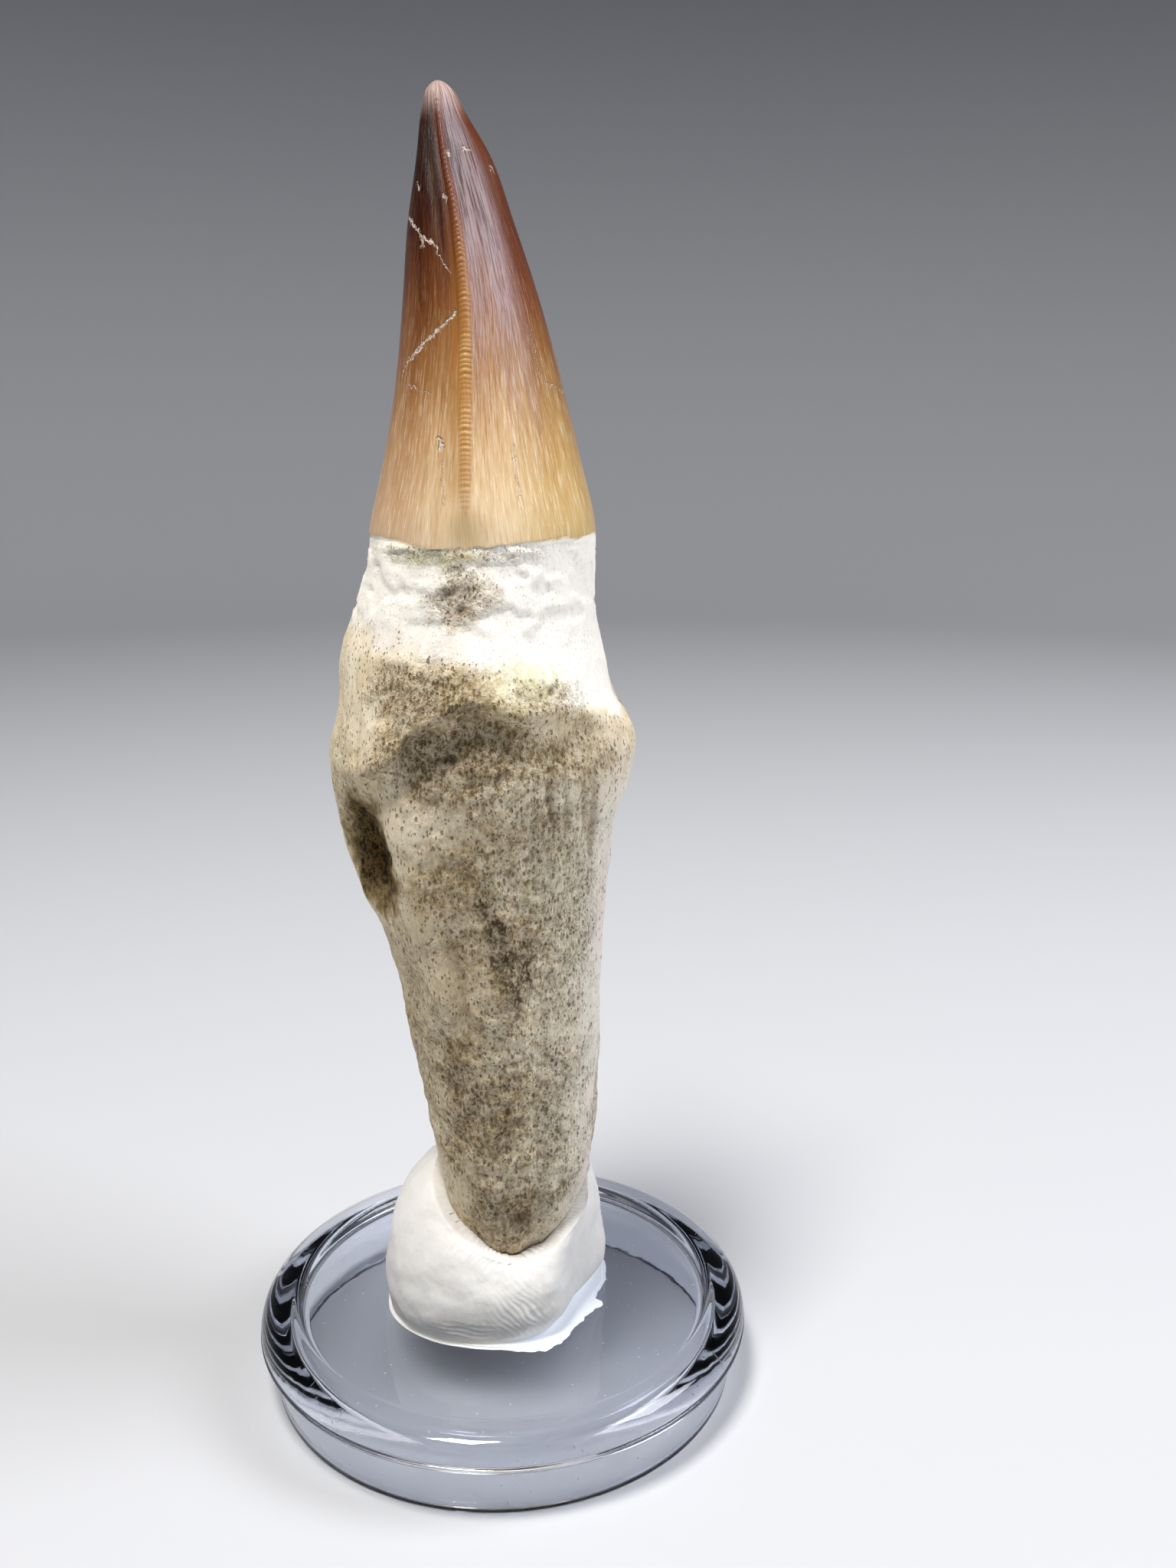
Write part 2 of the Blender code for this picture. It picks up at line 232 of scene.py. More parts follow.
def closed_skin(name, rings, low_point, high_point):
    """A closed mesh through rings of points in mm, from the lowest ring to the highest.
    Neighbouring rings may have different counts of points, if they start at the same side."""
    points = [low_point]
    starts = []
    for ring in rings:
        starts.append(len(points))
        points.extend(ring.tolist())
    points.append(high_point)
    faces = []
    for ring, following, start, after in zip(rings, rings[1:], starts, starts[1:]):
        faces.extend(band_of_faces(ring, following, start, after))
    first, last = len(rings[0]), len(rings[-1])
    faces.extend((0, starts[0] + (i + 1) % first, starts[0] + i) for i in range(first))
    top = len(points) - 1
    faces.extend((starts[-1] + i, starts[-1] + (i + 1) % last, top) for i in range(last))
    mesh = bpy.data.meshes.new(name)
    mesh.from_pydata((np.array(points) * MM).tolist(), [], faces)
    mesh.shade_smooth()
    made = bpy.data.objects.new(name, mesh)
    bpy.context.scene.collection.objects.link(made)
    return made


def band_of_faces(ring, following, start, after):
    """The faces between two rings: four-sided ones, or triangles where their counts differ, each
    with the shorter of its two possible sides."""
    count, next_count = len(ring), len(following)
    if count == next_count:
        turned = [(i, (i + 1) % count) for i in range(count)]
        return [(start + i, start + j, after + j, after + i) for i, j in turned]
    faces = []
    i = j = 0
    while i < count or j < next_count:
        this_low, this_up = ring[i % count], following[j % next_count]
        next_low, next_up = ring[(i + 1) % count], following[(j + 1) % next_count]
        here, there = start + i % count, after + j % next_count
        shorter_below = np.linalg.norm(next_low - this_up) <= np.linalg.norm(next_up - this_low)
        if j >= next_count or (i < count and shorter_below):
            i += 1
            faces.append((here, start + i % count, there))
        else:
            j += 1
            faces.append((here, after + j % next_count, there))
    return faces


def make_lid():
    angles = np.linspace(0.0, 2 * math.pi, LID_COLUMNS, endpoint=False)
    circle = np.stack((np.cos(angles), np.sin(angles), np.zeros(LID_COLUMNS)), axis=1)
    up = np.array((0.0, 0.0, 1.0))
    outline = reversed(softened_outline(LID_CORNERS))
    rings = [circle * radius + up * height for radius, height in outline]
    return closed_skin("clear_lid", rings, (0.0, 0.0, LID_CEILING), (0.0, 0.0, LID_FLOOR))


def clear_plastic():
    """Clear polystyrene: a hint of blue through its thickness, faint smears and moulding ripples."""
    material, tree, shader, place = new_material("clear_plastic")
    marks = use_group(tree, handling, {"Place": place, "Smear Size": 5.0, "Speck Size": 0.35})
    smooth = scaled(tree, marks["Smear"], SMEAR_ROUGHNESS, LID_ROUGHNESS)
    dusty = scaled(tree, marks["Specks"], DUST_ROUGHNESS, smooth)
    tree.links.new(dusty, shader.inputs["Roughness"])
    shader.inputs["Base Color"].default_value = tone(246, 249, 255)
    shader.inputs["Transmission Weight"].default_value = 1.0
    shader.inputs["IOR"].default_value = LID_IOR
    bump(tree, shader, noise_value(tree, place, 0.35, 2.0), RIPPLE_DEPTH, 0.4)
    wires = {"Color": tone(*LID_TINT), "Density": LID_TINT_DENSITY}
    tint = shader_node(tree, "VolumeAbsorption", wires)
    tree.links.new(tint.outputs[0], tree.nodes["Material Output"].inputs["Volume"])
    return material


handling = handling_group()
lid = make_lid()
lid.data.materials.append(clear_plastic())
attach(lid, "root")
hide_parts("display_disc")

# The tooth's form
# Crown and root grew as one piece. Its form is given by sections up its length, with the ledge,
# the hollow and the furrows of the root added, and both the putty and the tooth are fitted to it.

# Height, left, right, front, back, the front edge's x, and the keenness: 0.5 for an oval.
TOOTH_SECTIONS = np.array((
    (9.6, -3.2, 4.2, -3.9, 4.1, 0.6, 0.50),
    (13.0, -4.1, 5.4, -5.0, 5.2, 0.7, 0.50),
    (18.0, -5.1, 7.1, -6.4, 6.7, 0.9, 0.48),
    (25.0, -6.1, 7.9, -7.6, 8.2, 0.7, 0.47),
    (32.0, -7.3, 8.1, -8.6, 9.4, 0.2, 0.46),
    (36.0, -8.1, 8.3, -9.2, 10.1, -0.2, 0.46),
    (40.0, -9.5, 8.6, -9.8, 10.8, -0.8, 0.47),
    (44.0, -11.2, 8.8, -10.5, 11.5, -1.3, 0.48),
    (48.0, -12.1, 9.2, -11.2, 12.0, -1.5, 0.49),
    (50.5, -12.5, 10.1, -11.6, 12.2, -1.3, 0.50),
    (53.0, -12.2, 10.6, -11.8, 12.3, -1.0, 0.50),
    (56.5, -11.6, 8.9, -11.6, 12.1, -1.4, 0.50),
    (60.0, -11.3, 8.2, -10.8, 11.5, -1.6, 0.50),
    (63.0, -10.2, 7.7, -10.1, 10.8, -1.2, 0.50),
    (66.0, -9.15, 7.5, -9.6, 10.2, -1.1, 0.51),
    (69.0, -8.75, 7.45, -9.2, 9.8, -1.2, 0.54),
    (73.0, -7.8, 6.55, -8.1, 9.3, -1.2, 0.58),
    (78.5, -6.75, 5.15, -6.3, 8.6, -1.2, 0.61),
    (84.5, -6.1, 3.5, -4.1, 7.7, -1.3, 0.63),
    (90.0, -5.65, 1.65, -1.6, 6.6, -2.0, 0.63),
    (94.5, -5.0, 0.0, 0.8, 5.8, -2.95, 0.61),
    (97.5, -4.68, -1.75, 2.5, 5.2, -3.4, 0.56),
    (99.6, -4.35, -2.75, 3.4, 5.0, -3.7, 0.50),
))
ROOT_END = TOOTH_SECTIONS[0][0]
TIP = TOOTH_SECTIONS[-1][0]
TIP_ROUNDING = 1.2
ROOT_END_ROUNDING = 3.4
CROWN_BASE = 68.4
# The line of the ledge over the front, as x and z.
LEDGE_X = (-9.0, -6.1, -5.2, -3.6, -0.8, 1.8, 6.4, 10.2)
LEDGE_Z = (52.5, 54.4, 56.0, 57.0, 58.6, 57.4, 57.0, 54.8)
LEDGE_TURN = 5.0
LEDGE_HALF_TURN = 62.0
LEDGE_HEIGHT = 0.9
LEDGE_SLOPE_ABOVE = 3.6
LEDGE_SLOPE_BELOW = 1.2
LEDGE_HOLLOW = 0.6
LEDGE_HOLLOW_DROP = 2.8
LEDGE_HOLLOW_REACH = 1.7
PIT_TURN = -51.0
PIT_HALF_TURN = 24.0
PIT_Z = 45.9
PIT_HALF_HEIGHT = 5.4
PIT_DEPTH = 2.4
PIT_RIDGE_TOP = (-6.8, 53.0)
PIT_RIDGE_FOOT = (-3.6, 36.0)
PIT_RIDGE_HEIGHT = 0.6
PIT_RIDGE_WIDTH = 1.1
# Furrows up the root, as turn, half turn and depth.
FURROWS = (
    (22.0, 9.0, 0.4),
    (84.0, 12.0, 0.35),
    (128.0, 9.0, 0.6),
    (168.0, 12.0, 0.9),
    (-150.0, 10.0, 0.7),
)
FURROW_TOP = 50.0
FURROW_FADE = 12.0
LUMP_SPACING = 7.0
LUMP_HEIGHT = 0.3
RELIEF_TOP = CROWN_BASE - 1.0
RELIEF_FADE = 3.0


def smooth_through(heights, values, z):
    """Reads a smooth curve through the points (height, value) at each z."""
    slopes = np.gradient(values, heights)
    i = np.clip(np.searchsorted(heights, z) - 1, 0, len(heights) - 2)
    span = heights[i + 1] - heights[i]
    t = (np.clip(z, heights[0], heights[-1]) - heights[i]) / span
    rise = 3 * t**2 - 2 * t**3
    bend = slopes[i] * t * (1 - t) ** 2 + slopes[i + 1] * t**2 * (t - 1)
    return values[i] * (1 - rise) + values[i + 1] * rise + span * bend


def fade(value, low, high):
    """0 below low and 1 above high, with an eased step between."""
    t = np.clip((value - low) / (high - low), 0.0, 1.0)
    return t * t * (3 - 2 * t)


def hump(distance, reach):
    return np.exp(-((distance / reach) ** 2))


def turn_between(a, b):
    return (a - b + 180.0) % 360.0 - 180.0


def noise_over(places, spacing):
    """Smooth noise between -1 and 1 at each place of a grid of places in mm."""
    spots = (places / np.array(spacing)).reshape(-1, 3)
    return np.array([noise.noise(Vector(spot)) for spot in spots]).reshape(places.shape[:-1])


def layered_noise(places, layers):
    """Smooth noise summed from layers, each given as its height, spacing and shift."""
    return sum(height * noise_over(places + shift, spacing) for height, spacing, shift in layers)


def ledge_relief(x, z, turn):
    height = z - np.interp(x, LEDGE_X, LEDGE_Z)
    slope = np.where(height > 0, LEDGE_SLOPE_ABOVE, LEDGE_SLOPE_BELOW)
    hollow = LEDGE_HOLLOW * hump(height + LEDGE_HOLLOW_DROP, LEDGE_HOLLOW_REACH)
    in_front = hump(turn_between(turn, LEDGE_TURN), LEDGE_HALF_TURN)
    return (LEDGE_HEIGHT * hump(height, slope) - hollow) * in_front


def pit_nearness(z, turn):
    """1 in the middle of the hollow, 0 at its rim and below 0 outside it."""
    across = turn_between(turn, PIT_TURN) / PIT_HALF_TURN
    up = (z - PIT_Z) / PIT_HALF_HEIGHT
    return 1.0 - across**2 - up**2


def pit_relief(x, z, turn):
    (top_x, top_z), (foot_x, foot_z) = PIT_RIDGE_TOP, PIT_RIDGE_FOOT
    along = np.clip((z - foot_z) / (top_z - foot_z), 0.0, 1.0)
    beyond = np.maximum(0.0, np.maximum(z - top_z, foot_z - z)) * 0.4
    off_line = np.hypot(x - foot_x - (top_x - foot_x) * along, beyond)
    ridge = PIT_RIDGE_HEIGHT * hump(off_line, PIT_RIDGE_WIDTH) * (np.abs(turn) < 90.0)
    return ridge - PIT_DEPTH * np.maximum(0.0, pit_nearness(z, turn)) ** 2.0


def furrow_relief(z, turn):
    depth = sum(deep * hump(turn_between(turn, at), reach) for at, reach, deep in FURROWS)
    return -depth * np.clip((FURROW_TOP - z) / FURROW_FADE, 0.0, 1.0)


def tooth_form(turns, heights):
    """The tooth's surface over a grid of heights in mm and turns in degrees from the front."""
    z, turn = np.meshgrid(heights, turns, indexing="ij")
    levels, *columns = TOOTH_SECTIONS.T
    curves = [smooth_through(levels, column, heights)[:, None] for column in columns]
    left, right, front, back, edge, keenness = curves
    from_ends = np.minimum((z - ROOT_END) / ROOT_END_ROUNDING, (TIP - z) / TIP_ROUNDING)
    share = np.minimum(1.0, from_ends)
    round_off = np.sqrt(np.maximum(0.0, 1.0 - (1.0 - share) ** 2))
    sine, cosine = np.sin(np.radians(turn)), np.cos(np.radians(turn))
    middle_x, middle_y = (left + right) / 2, (front + back) / 2
    x = np.sign(sine) * (right - left) / 2 * np.abs(sine) ** (2 * keenness) * round_off
    x = x + (edge - middle_x) * np.maximum(0.0, cosine) ** 2 * round_off
    y = -(back - front) / 2 * cosine * round_off
    reach = np.maximum(np.hypot(x, y), 1e-6)
    outward_x, outward_y = x / reach, y / reach
    x, y = x + middle_x, y + middle_y
    lumps = LUMP_HEIGHT * noise_over(np.stack((x, y, z * 0.6), axis=-1), (LUMP_SPACING,) * 3)
    relief = ledge_relief(x, z, turn) + pit_relief(x, z, turn) + furrow_relief(z, turn) + lumps
    relief = relief * np.clip((RELIEF_TOP - z) / RELIEF_FADE, 0.0, 1.0) * round_off
    return np.stack((x + outward_x * relief, y + outward_y * relief, z), axis=-1), z, turn


# The putty
# A lump of ivory adhesive putty, thumbed round the end of the root until it holds the tooth
# upright, with finger marks in it and a thin film smeared out over the lid on its right.

PUTTY_MIDDLE = (-0.5, 0.0)
# The putty's girth, and how far its film reaches beyond its foot, by turn from the front.
PUTTY_OUTLINE = (
    (-99.0, 9.1),
    (-69.0, 9.3),
    (-36.0, 8.7),
    (-2.0, 8.1),
    (32.0, 8.3),
    (66.0, 7.4),
    (98.0, 8.7),
    (124.0, 10.0),
    (150.0, 9.7),
    (177.0, 8.8),
    (216.0, 9.2),
)
PUTTY_FILM = (
    (-20.0, 0.0),
    (5.0, 0.3),
    (16.0, 0.9),
    (28.5, 1.5),
    (42.0, 1.5),
    (50.0, 1.4),
    (54.0, 1.6),
    (68.0, 2.1),
    (76.5, 2.3),
    (78.5, 2.1),
    (80.5, 1.4),
    (88.0, 1.3),
    (98.0, 1.4),
    (116.0, 1.1),
    (126.0, 1.7),
    (135.0, 1.5),
    (150.0, 0.3),
    (165.0, 0.0),
)
# How high the putty reaches up the root at its left, right, front and back.
PUTTY_CONTACT = (17.9, 16.3, 12.5, 15.4)
PUTTY_TONES = (tone(221, 219, 214), tone(235, 233, 229))
PUTTY_DUST = tone(196, 186, 166)
PUTTY_FILM_TONE = tone(233, 240, 250)
PUTTY_GRAIN = 0.03
PUTTY_COLUMNS = 440
PUTTY_ROWS = 176
FILM_THICKNESS = 0.14
FILM_RAGGEDNESS = 0.16
FILM_LEAST = 0.02
FOOT_TUCK = 0.42
RIGHT_FOOT_TUCK = 0.9
SHOULDER_START = 8.8
# The film's rows, as shares of its reach and of its thickness.
FILM_ROWS = ((0.97, 0.0), (1.0, 0.5), (0.92, 1.0), (0.3, 1.3))
# The rows over the shoulder, as the share of the way inwards and of the way up.
SHOULDER_ROWS = ((0.05, 0.22), (0.22, 0.58), (0.52, 0.84), (0.82, 0.97), (1.0, 1.0))
# Layers of noise, as height, spacing and shift.
PUTTY_DENTS = (
    (0.26, (4.2, 4.2, 3.4), 0.0),
    (0.1, (1.5, 1.5, 1.5), 40.0),
    (0.03, (0.5, 0.5, 0.5), 80.0),
)
FINGER_WOBBLE = ((0.35, (1.6, 1.6, 1.6), 20.0),)
FINGER_RIDGE_PITCH = 0.45
# Finger marks, as place, reach, slant of the ridges, depth of the dent and height of the ridges.
FINGER_MARKS = (
    ((1.9, -8.0, 8.6), (1.9, 3.0, 2.3), 0.72, 0.25, 0.11),
    ((-2.4, -8.2, 7.3), (2.6, 3.0, 0.9), 1.45, 0.15, 0.07),
    ((-8.4, 3.0, 10.6), (3.0, 3.2, 2.6), 0.5, 0.35, 0.09),
    ((8.4, 2.0, 12.0), (3.0, 3.2, 2.6), -0.6, 0.3, 0.07),
    ((1.5, 9.0, 11.5), (3.4, 3.0, 2.6), 0.9, 0.4, 0.1),
)


def round_curve(points, turns):
    """Reads a smooth closed curve through the points (turn, distance) at each turn."""
    at = np.array([turn for turn, _ in points])
    distance = np.array([value for _, value in points])
    at = np.concatenate((at - 360.0, at, at + 360.0))
    return smooth_through(at, np.tile(distance, 3), turns)


def putty_contact_height(turns):
    """How high the putty reaches up the root: highest at the left, lowest in front."""
    left, right, front, back = PUTTY_CONTACT
    angle = np.radians(turns)
    mean, saddle = (left + right + front + back) / 4, (front + back - left - right) / 4
    tilt = (front - back) / 2 * np.cos(angle) + (right - left) / 2 * np.sin(angle)
    return mean + tilt + saddle * np.cos(2 * angle)


def putty_film(turns):
    """How far the smeared film reaches out beyond the putty's foot."""
    film = np.interp(turns, [at for at, _ in PUTTY_FILM], [reach for _, reach in PUTTY_FILM])
    wide = np.array([noise.noise(Vector((turn / 6.0, 3.0, 0.0))) for turn in turns])
    narrow = np.array([noise.noise(Vector((turn / 2.5, 9.0, 0.0))) for turn in turns])
    return np.maximum(FILM_LEAST, film * (1.0 + FILM_RAGGEDNESS * (wide + 0.5 * narrow)))


def putty_sections(turns):
    """The points that each upright section of the putty runs through, from foot to socket."""
    centre = np.array((*PUTTY_MIDDLE, 0.0))
    flat = np.array((1.0, 1.0, 0.0))
    angle = np.radians(turns)
    outward = np.stack((np.sin(angle), -np.cos(angle), 0 * angle), axis=1)
    side = round_curve(PUTTY_OUTLINE, turns)
    tuck = FOOT_TUCK + RIGHT_FOOT_TUCK * np.maximum(0.0, np.sin(angle))
    film = putty_film(turns)
    contact = putty_contact_height(turns)
    form, _, _ = tooth_form(turns, np.linspace(ROOT_END + 1.0, 20.0, 60))
    levels = form[:, 0, 2]

    def root_at(heights):
        rows = np.clip(np.searchsorted(levels, heights), 0, len(levels) - 1)
        return form[rows, np.arange(len(turns))]

    def raised(heights):
        return np.stack((0 * angle, 0 * angle, heights + 0 * angle), axis=1)

    def out_at(reach, height):
        return centre + outward * reach[:, None] + raised(height)

    touch = root_at(contact)
    touch_reach = np.hypot(touch[:, 0] - centre[0], touch[:, 1] - centre[1])
    inward = (touch - centre) * flat / -touch_reach[:, None]
    lip = 0.35 + 1.3 * np.maximum(0.0, np.cos(angle)) ** 0.7 + 0.5 * np.maximum(0.0, -np.cos(angle))
    foot = side - tuck
    sections = [out_at(foot * 0.5, LID_FLOOR)]
    for reach, thickness in FILM_ROWS:
        sections.append(out_at(foot + film * reach, LID_FLOOR + FILM_THICKNESS * thickness))
    sections.append(out_at(foot + 0.06, LID_FLOOR + 0.35))
    sections.append(out_at(side - tuck * 0.45, 6.9))
    sections.append(out_at(side - tuck * 0.05, 8.0))
    top = (touch - inward * lip[:, None]) * flat
    rise = contact + 0.1 - SHOULDER_START
    for across, up in SHOULDER_ROWS:
        blend = out_at(side, 0.0) * (1 - across) + top * across
        sections.append(blend + raised(SHOULDER_START + rise * up))
    sections.append(touch - inward * (lip * 0.45)[:, None] - raised(0.1))
    sections.append(touch + inward * 0.05 - raised(0.35))
    sections.append(touch + inward * 0.45 - raised(1.0))
    sections.append(root_at(np.minimum(contact - 1.5, 12.0)) + inward * 0.8)
    return sections


def make_putty():
    turns = np.linspace(-180.0, 180.0, PUTTY_COLUMNS, endpoint=False)
    sections = np.array(putty_sections(turns))
    steps = np.linalg.norm(np.diff(sections.mean(axis=1), axis=0), axis=1)
    knots = np.concatenate(([0.0], np.cumsum(np.sqrt(steps + 0.4))))
    shares = np.linspace(0.0, 1.0, PUTTY_ROWS)
    along = np.interp(shares, np.linspace(0.0, 1.0, len(knots)), knots)
    rows = smooth_through_rows(knots, sections, along)
    normals = surface_normals(rows)
    high = fade(rows[..., 2], LID_FLOOR + 0.25, LID_FLOOR + 1.2)
    wobble = layered_noise(rows, FINGER_WOBBLE)
    relief = layered_noise(rows, PUTTY_DENTS)
    for place, reach, lean, depth, ridge in FINGER_MARKS:
        off = rows - np.array(place)
        near = hump(np.linalg.norm(off / np.array(reach), axis=-1), 1.0)
        across = off[..., 0] * math.cos(lean) + off[..., 2] * math.sin(lean) + 0.3 * off[..., 1]
        waves = 0.5 + 0.5 * np.sin((across + wobble) * 2 * math.pi / FINGER_RIDGE_PITCH)
        relief = relief + near * (ridge * waves - depth)
    rows = rows + normals * (relief * high)[..., None]
    thin = np.clip(putty_film(turns) / 0.9, 0.0, 1.0)
    film = (1.0 - fade(rows[..., 2], LID_FLOOR + 0.2, LID_FLOOR + 0.6)) * thin
    low = (*PUTTY_MIDDLE, LID_FLOOR)
    putty = closed_skin("putty_lump", list(rows), low, tuple(rows[-1].mean(axis=0)))
    add_masks(putty, {"film": np.concatenate(([1.0], film.ravel(), [0.0]))})
    return putty


def add_masks(piece, masks):
    """Keeps masks for the finish as values at the piece's points."""
    for name, values in masks.items():
        piece.data.attributes.new(name, "FLOAT", "POINT").data.foreach_set("value", values)


def smooth_through_rows(knots, sections, along):
    """The same smooth curve through rows of points, all columns at once."""
    flat = sections.reshape(len(sections), -1)
    columns = [smooth_through(knots, flat[:, k], along) for k in range(flat.shape[1])]
    return np.stack(columns, axis=1).reshape(len(along), *sections.shape[1:])


def surface_normals(grid):
    """Outward normals of a grid of points whose columns run round and whose rows run up."""
    round_it = np.roll(grid, -1, axis=1) - np.roll(grid, 1, axis=1)
    up_it = np.gradient(grid, axis=0)
    normals = np.cross(round_it, up_it)
    return normals / np.maximum(np.linalg.norm(normals, axis=-1, keepdims=True), 1e-9)


def ivory_putty():
    """Soft matt putty: nearly white, a little cooler in the thin film, with fine dull grain."""
    material, tree, shader, place = new_material("ivory_putty")
    marks = use_group(tree, handling, {"Place": place, "Smear Size": 3.0, "Speck Size": 0.22})
    colour = mix_colours(tree, noise_value(tree, place, 0.45, 4.0, 0.6), *PUTTY_TONES)
    colour = glaze(tree, colour, PUTTY_DUST, marks["Specks"], 0.35)
    colour = glaze(tree, colour, PUTTY_FILM_TONE, mask_of(tree, "film"), 0.85)
    tree.links.new(colour, shader.inputs["Base Color"])
    tree.links.new(scaled(tree, marks["Smear"], -0.14, 0.62), shader.inputs["Roughness"])
    shader.inputs["Subsurface Weight"].default_value = 0.15
    shader.inputs["Subsurface Radius"].default_value = (1.0, 0.75, 0.55)
    shader.inputs["Subsurface Scale"].default_value = 0.8 * MM
    bump(tree, shader, noise_value(tree, place, 5.0, 4.0, 0.65), PUTTY_GRAIN, 0.8)
    return material


def mask_of(tree, name):
    """Reads a mask that the piece keeps at its points."""
    return shader_node(tree, "Attribute", attribute_name=name).outputs["Fac"]


putty = make_putty()
putty.data.materials.append(ivory_putty())
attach(putty, "root")
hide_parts("mounting_putty")

# The tooth
# A fossil: enamel turned amber and mahogany over a root of cement and bone turned cream, with
# open pores, brown earth in them, a serrated cutting edge front and back, and hairline cracks.

CARINA_TOP = 99.4
CARINA_HEIGHT = 0.35
CARINA_HALF_WIDTH = 0.36
BACK_CARINA_HEIGHT = 0.2
SERRATION_PITCH = 0.33
SERRATION_DEPTH = 0.11
GROOVE_DEPTH = 0.07
CROWN_COLUMNS = 124
CROWN_ROWS = 300
ROOT_COLUMNS = 256
ROOT_ROWS = 216
END_ROWS = 10
STREAK_LENGTH = 100.0
SEAM_DROP = 0.9
ENAMEL_STEP = 0.09
PORE_SPACING = 0.85
PORE_STRETCH = 1.5
PORE_DEPTH = 0.24
PLATE_HEIGHT = 0.16
TOOTH_MASKS = (
    "enamel",
    "rib",
    "strip",
    "line",
    "earth_and_shade",
    "pit",
    "olive",
    "pore",
    "open_bone",
    "cement",
)
# Layers of noise, as height, spacing and shift.
BORDER_WANDER = (
    (0.22, (0.3, 0.3, 1.0), 0.0),
    (0.2, (0.07, 0.07, 1.0), 7.0),
    (0.12, (0.03, 0.03, 1.0), 9.0),
)
PATCH_RAGGEDNESS = (
    (1.0, (2.4, 2.4, 2.4), 0.0),
    (0.5, (0.9, 0.9, 0.9), 30.0),
    (0.5, (0.5, 0.5, 0.55), 50.0),
)
ROOT_GRIT = ((0.2, (0.8, 0.8, 1.0), 70.0), (0.16, (0.5, 0.5, 0.65), 110.0))
ROOT_LUMPS = ((0.14, (2.1, 2.1, 2.8), 60.0), (0.07, (0.9, 0.9, 1.2), 90.0))
ROOT_FIBRES = ((0.09, (0.75, 0.75, 6.0), 15.0),)
CEMENT_FLAKES = ((1.0, (2.6, 2.6, 1.3), 5.0), (0.4, (0.9, 0.9, 0.6), 9.0))
CROWN_FLUTES = ((0.13, (0.28, 0.28, 1.0), 0.0), (0.05, (0.1, 0.1, 0.6), 3.0))
# Soft patches of the root's finish, as turn, height, half turn, half height and strength.
# Earth patches, the ones just under the ledge partly painted shade.
EARTH_AND_SHADE_PATCHES = (
    (-3.0, 65.4, 16.0, 2.6, 0.45),
    (-11.0, 58.6, 27.0, 2.1, 0.7),
    (28.0, 58.0, 15.0, 1.5, 0.35),
    (-1.0, 54.6, 30.0, 2.6, 0.72),
    (-17.0, 51.8, 9.0, 1.4, 0.8),
    (42.0, 53.6, 26.0, 3.0, 0.6),
    (14.0, 49.0, 30.0, 3.0, 0.35),
    (8.0, 41.8, 11.0, 2.6, 1.0),
    (13.0, 38.2, 13.0, 3.6, 1.0),
    (11.0, 39.4, 18.0, 5.0, 0.5),
    (-14.0, 38.0, 13.0, 9.0, 0.32),
    (-4.0, 43.5, 14.0, 5.0, 0.4),
    (-20.0, 26.0, 32.0, 6.0, 0.7),
    (2.0, 15.5, 50.0, 4.0, 0.7),
    (40.0, 31.0, 22.0, 9.0, 0.12),
    (60.0, 44.0, 16.0, 8.0, 0.12),
    (-66.0, 30.0, 22.0, 6.0, 0.5),
    (-40.0, 34.0, 16.0, 8.0, 0.3),
    (110.0, 57.0, 24.0, 3.5, 0.7),
    (128.0, 37.0, 15.0, 9.0, 0.6),
    (168.0, 47.0, 26.0, 7.0, 0.6),
    (172.0, 27.0, 18.0, 8.0, 0.85),
    (-160.0, 59.5, 22.0, 3.5, 0.7),
    (-150.0, 36.0, 12.0, 10.0, 0.7),
    (-112.0, 50.0, 18.0, 5.0, 0.35),
    (-118.0, 62.0, 20.0, 2.5, 0.5),
    (95.0, 22.0, 28.0, 6.0, 0.5),
    (-120.0, 20.0, 30.0, 5.0, 0.6),
)
OLIVE_PATCHES = (
    (44.0, 45.0, 22.0, 7.0, 0.6),
    (24.0, 59.0, 18.0, 2.3, 0.6),
    (-22.0, 67.8, 34.0, 0.9, 0.6),
    (-75.0, 33.0, 20.0, 5.0, 0.35),
    (150.0, 52.0, 26.0, 8.0, 0.45),
    (-165.0, 24.0, 22.0, 8.0, 0.45),
)
OPEN_BONE = (
    (22.0, 43.0, 47.0, 13.0, 0.84),
    (2.0, 53.6, 46.0, 4.0, 1.0),
    (-62.0, 48.0, 24.0, 8.0, 0.45),
    (-12.0, 58.4, 32.0, 2.6, 0.9),
    (30.0, 57.8, 22.0, 1.8, 0.6),
    (-4.0, 65.4, 17.0, 2.3, 0.8),
    (-10.0, 67.8, 55.0, 0.8, 0.45),
    (4.0, 25.0, 64.0, 14.0, 0.9),
    (-46.0, 32.0, 22.0, 12.0, 0.5),
    (150.0, 45.0, 56.0, 16.0, 0.9),
    (-165.0, 27.0, 52.0, 15.0, 0.85),
    (-125.0, 58.0, 28.0, 6.0, 0.6),
    (120.0, 62.0, 30.0, 4.0, 0.5),
)
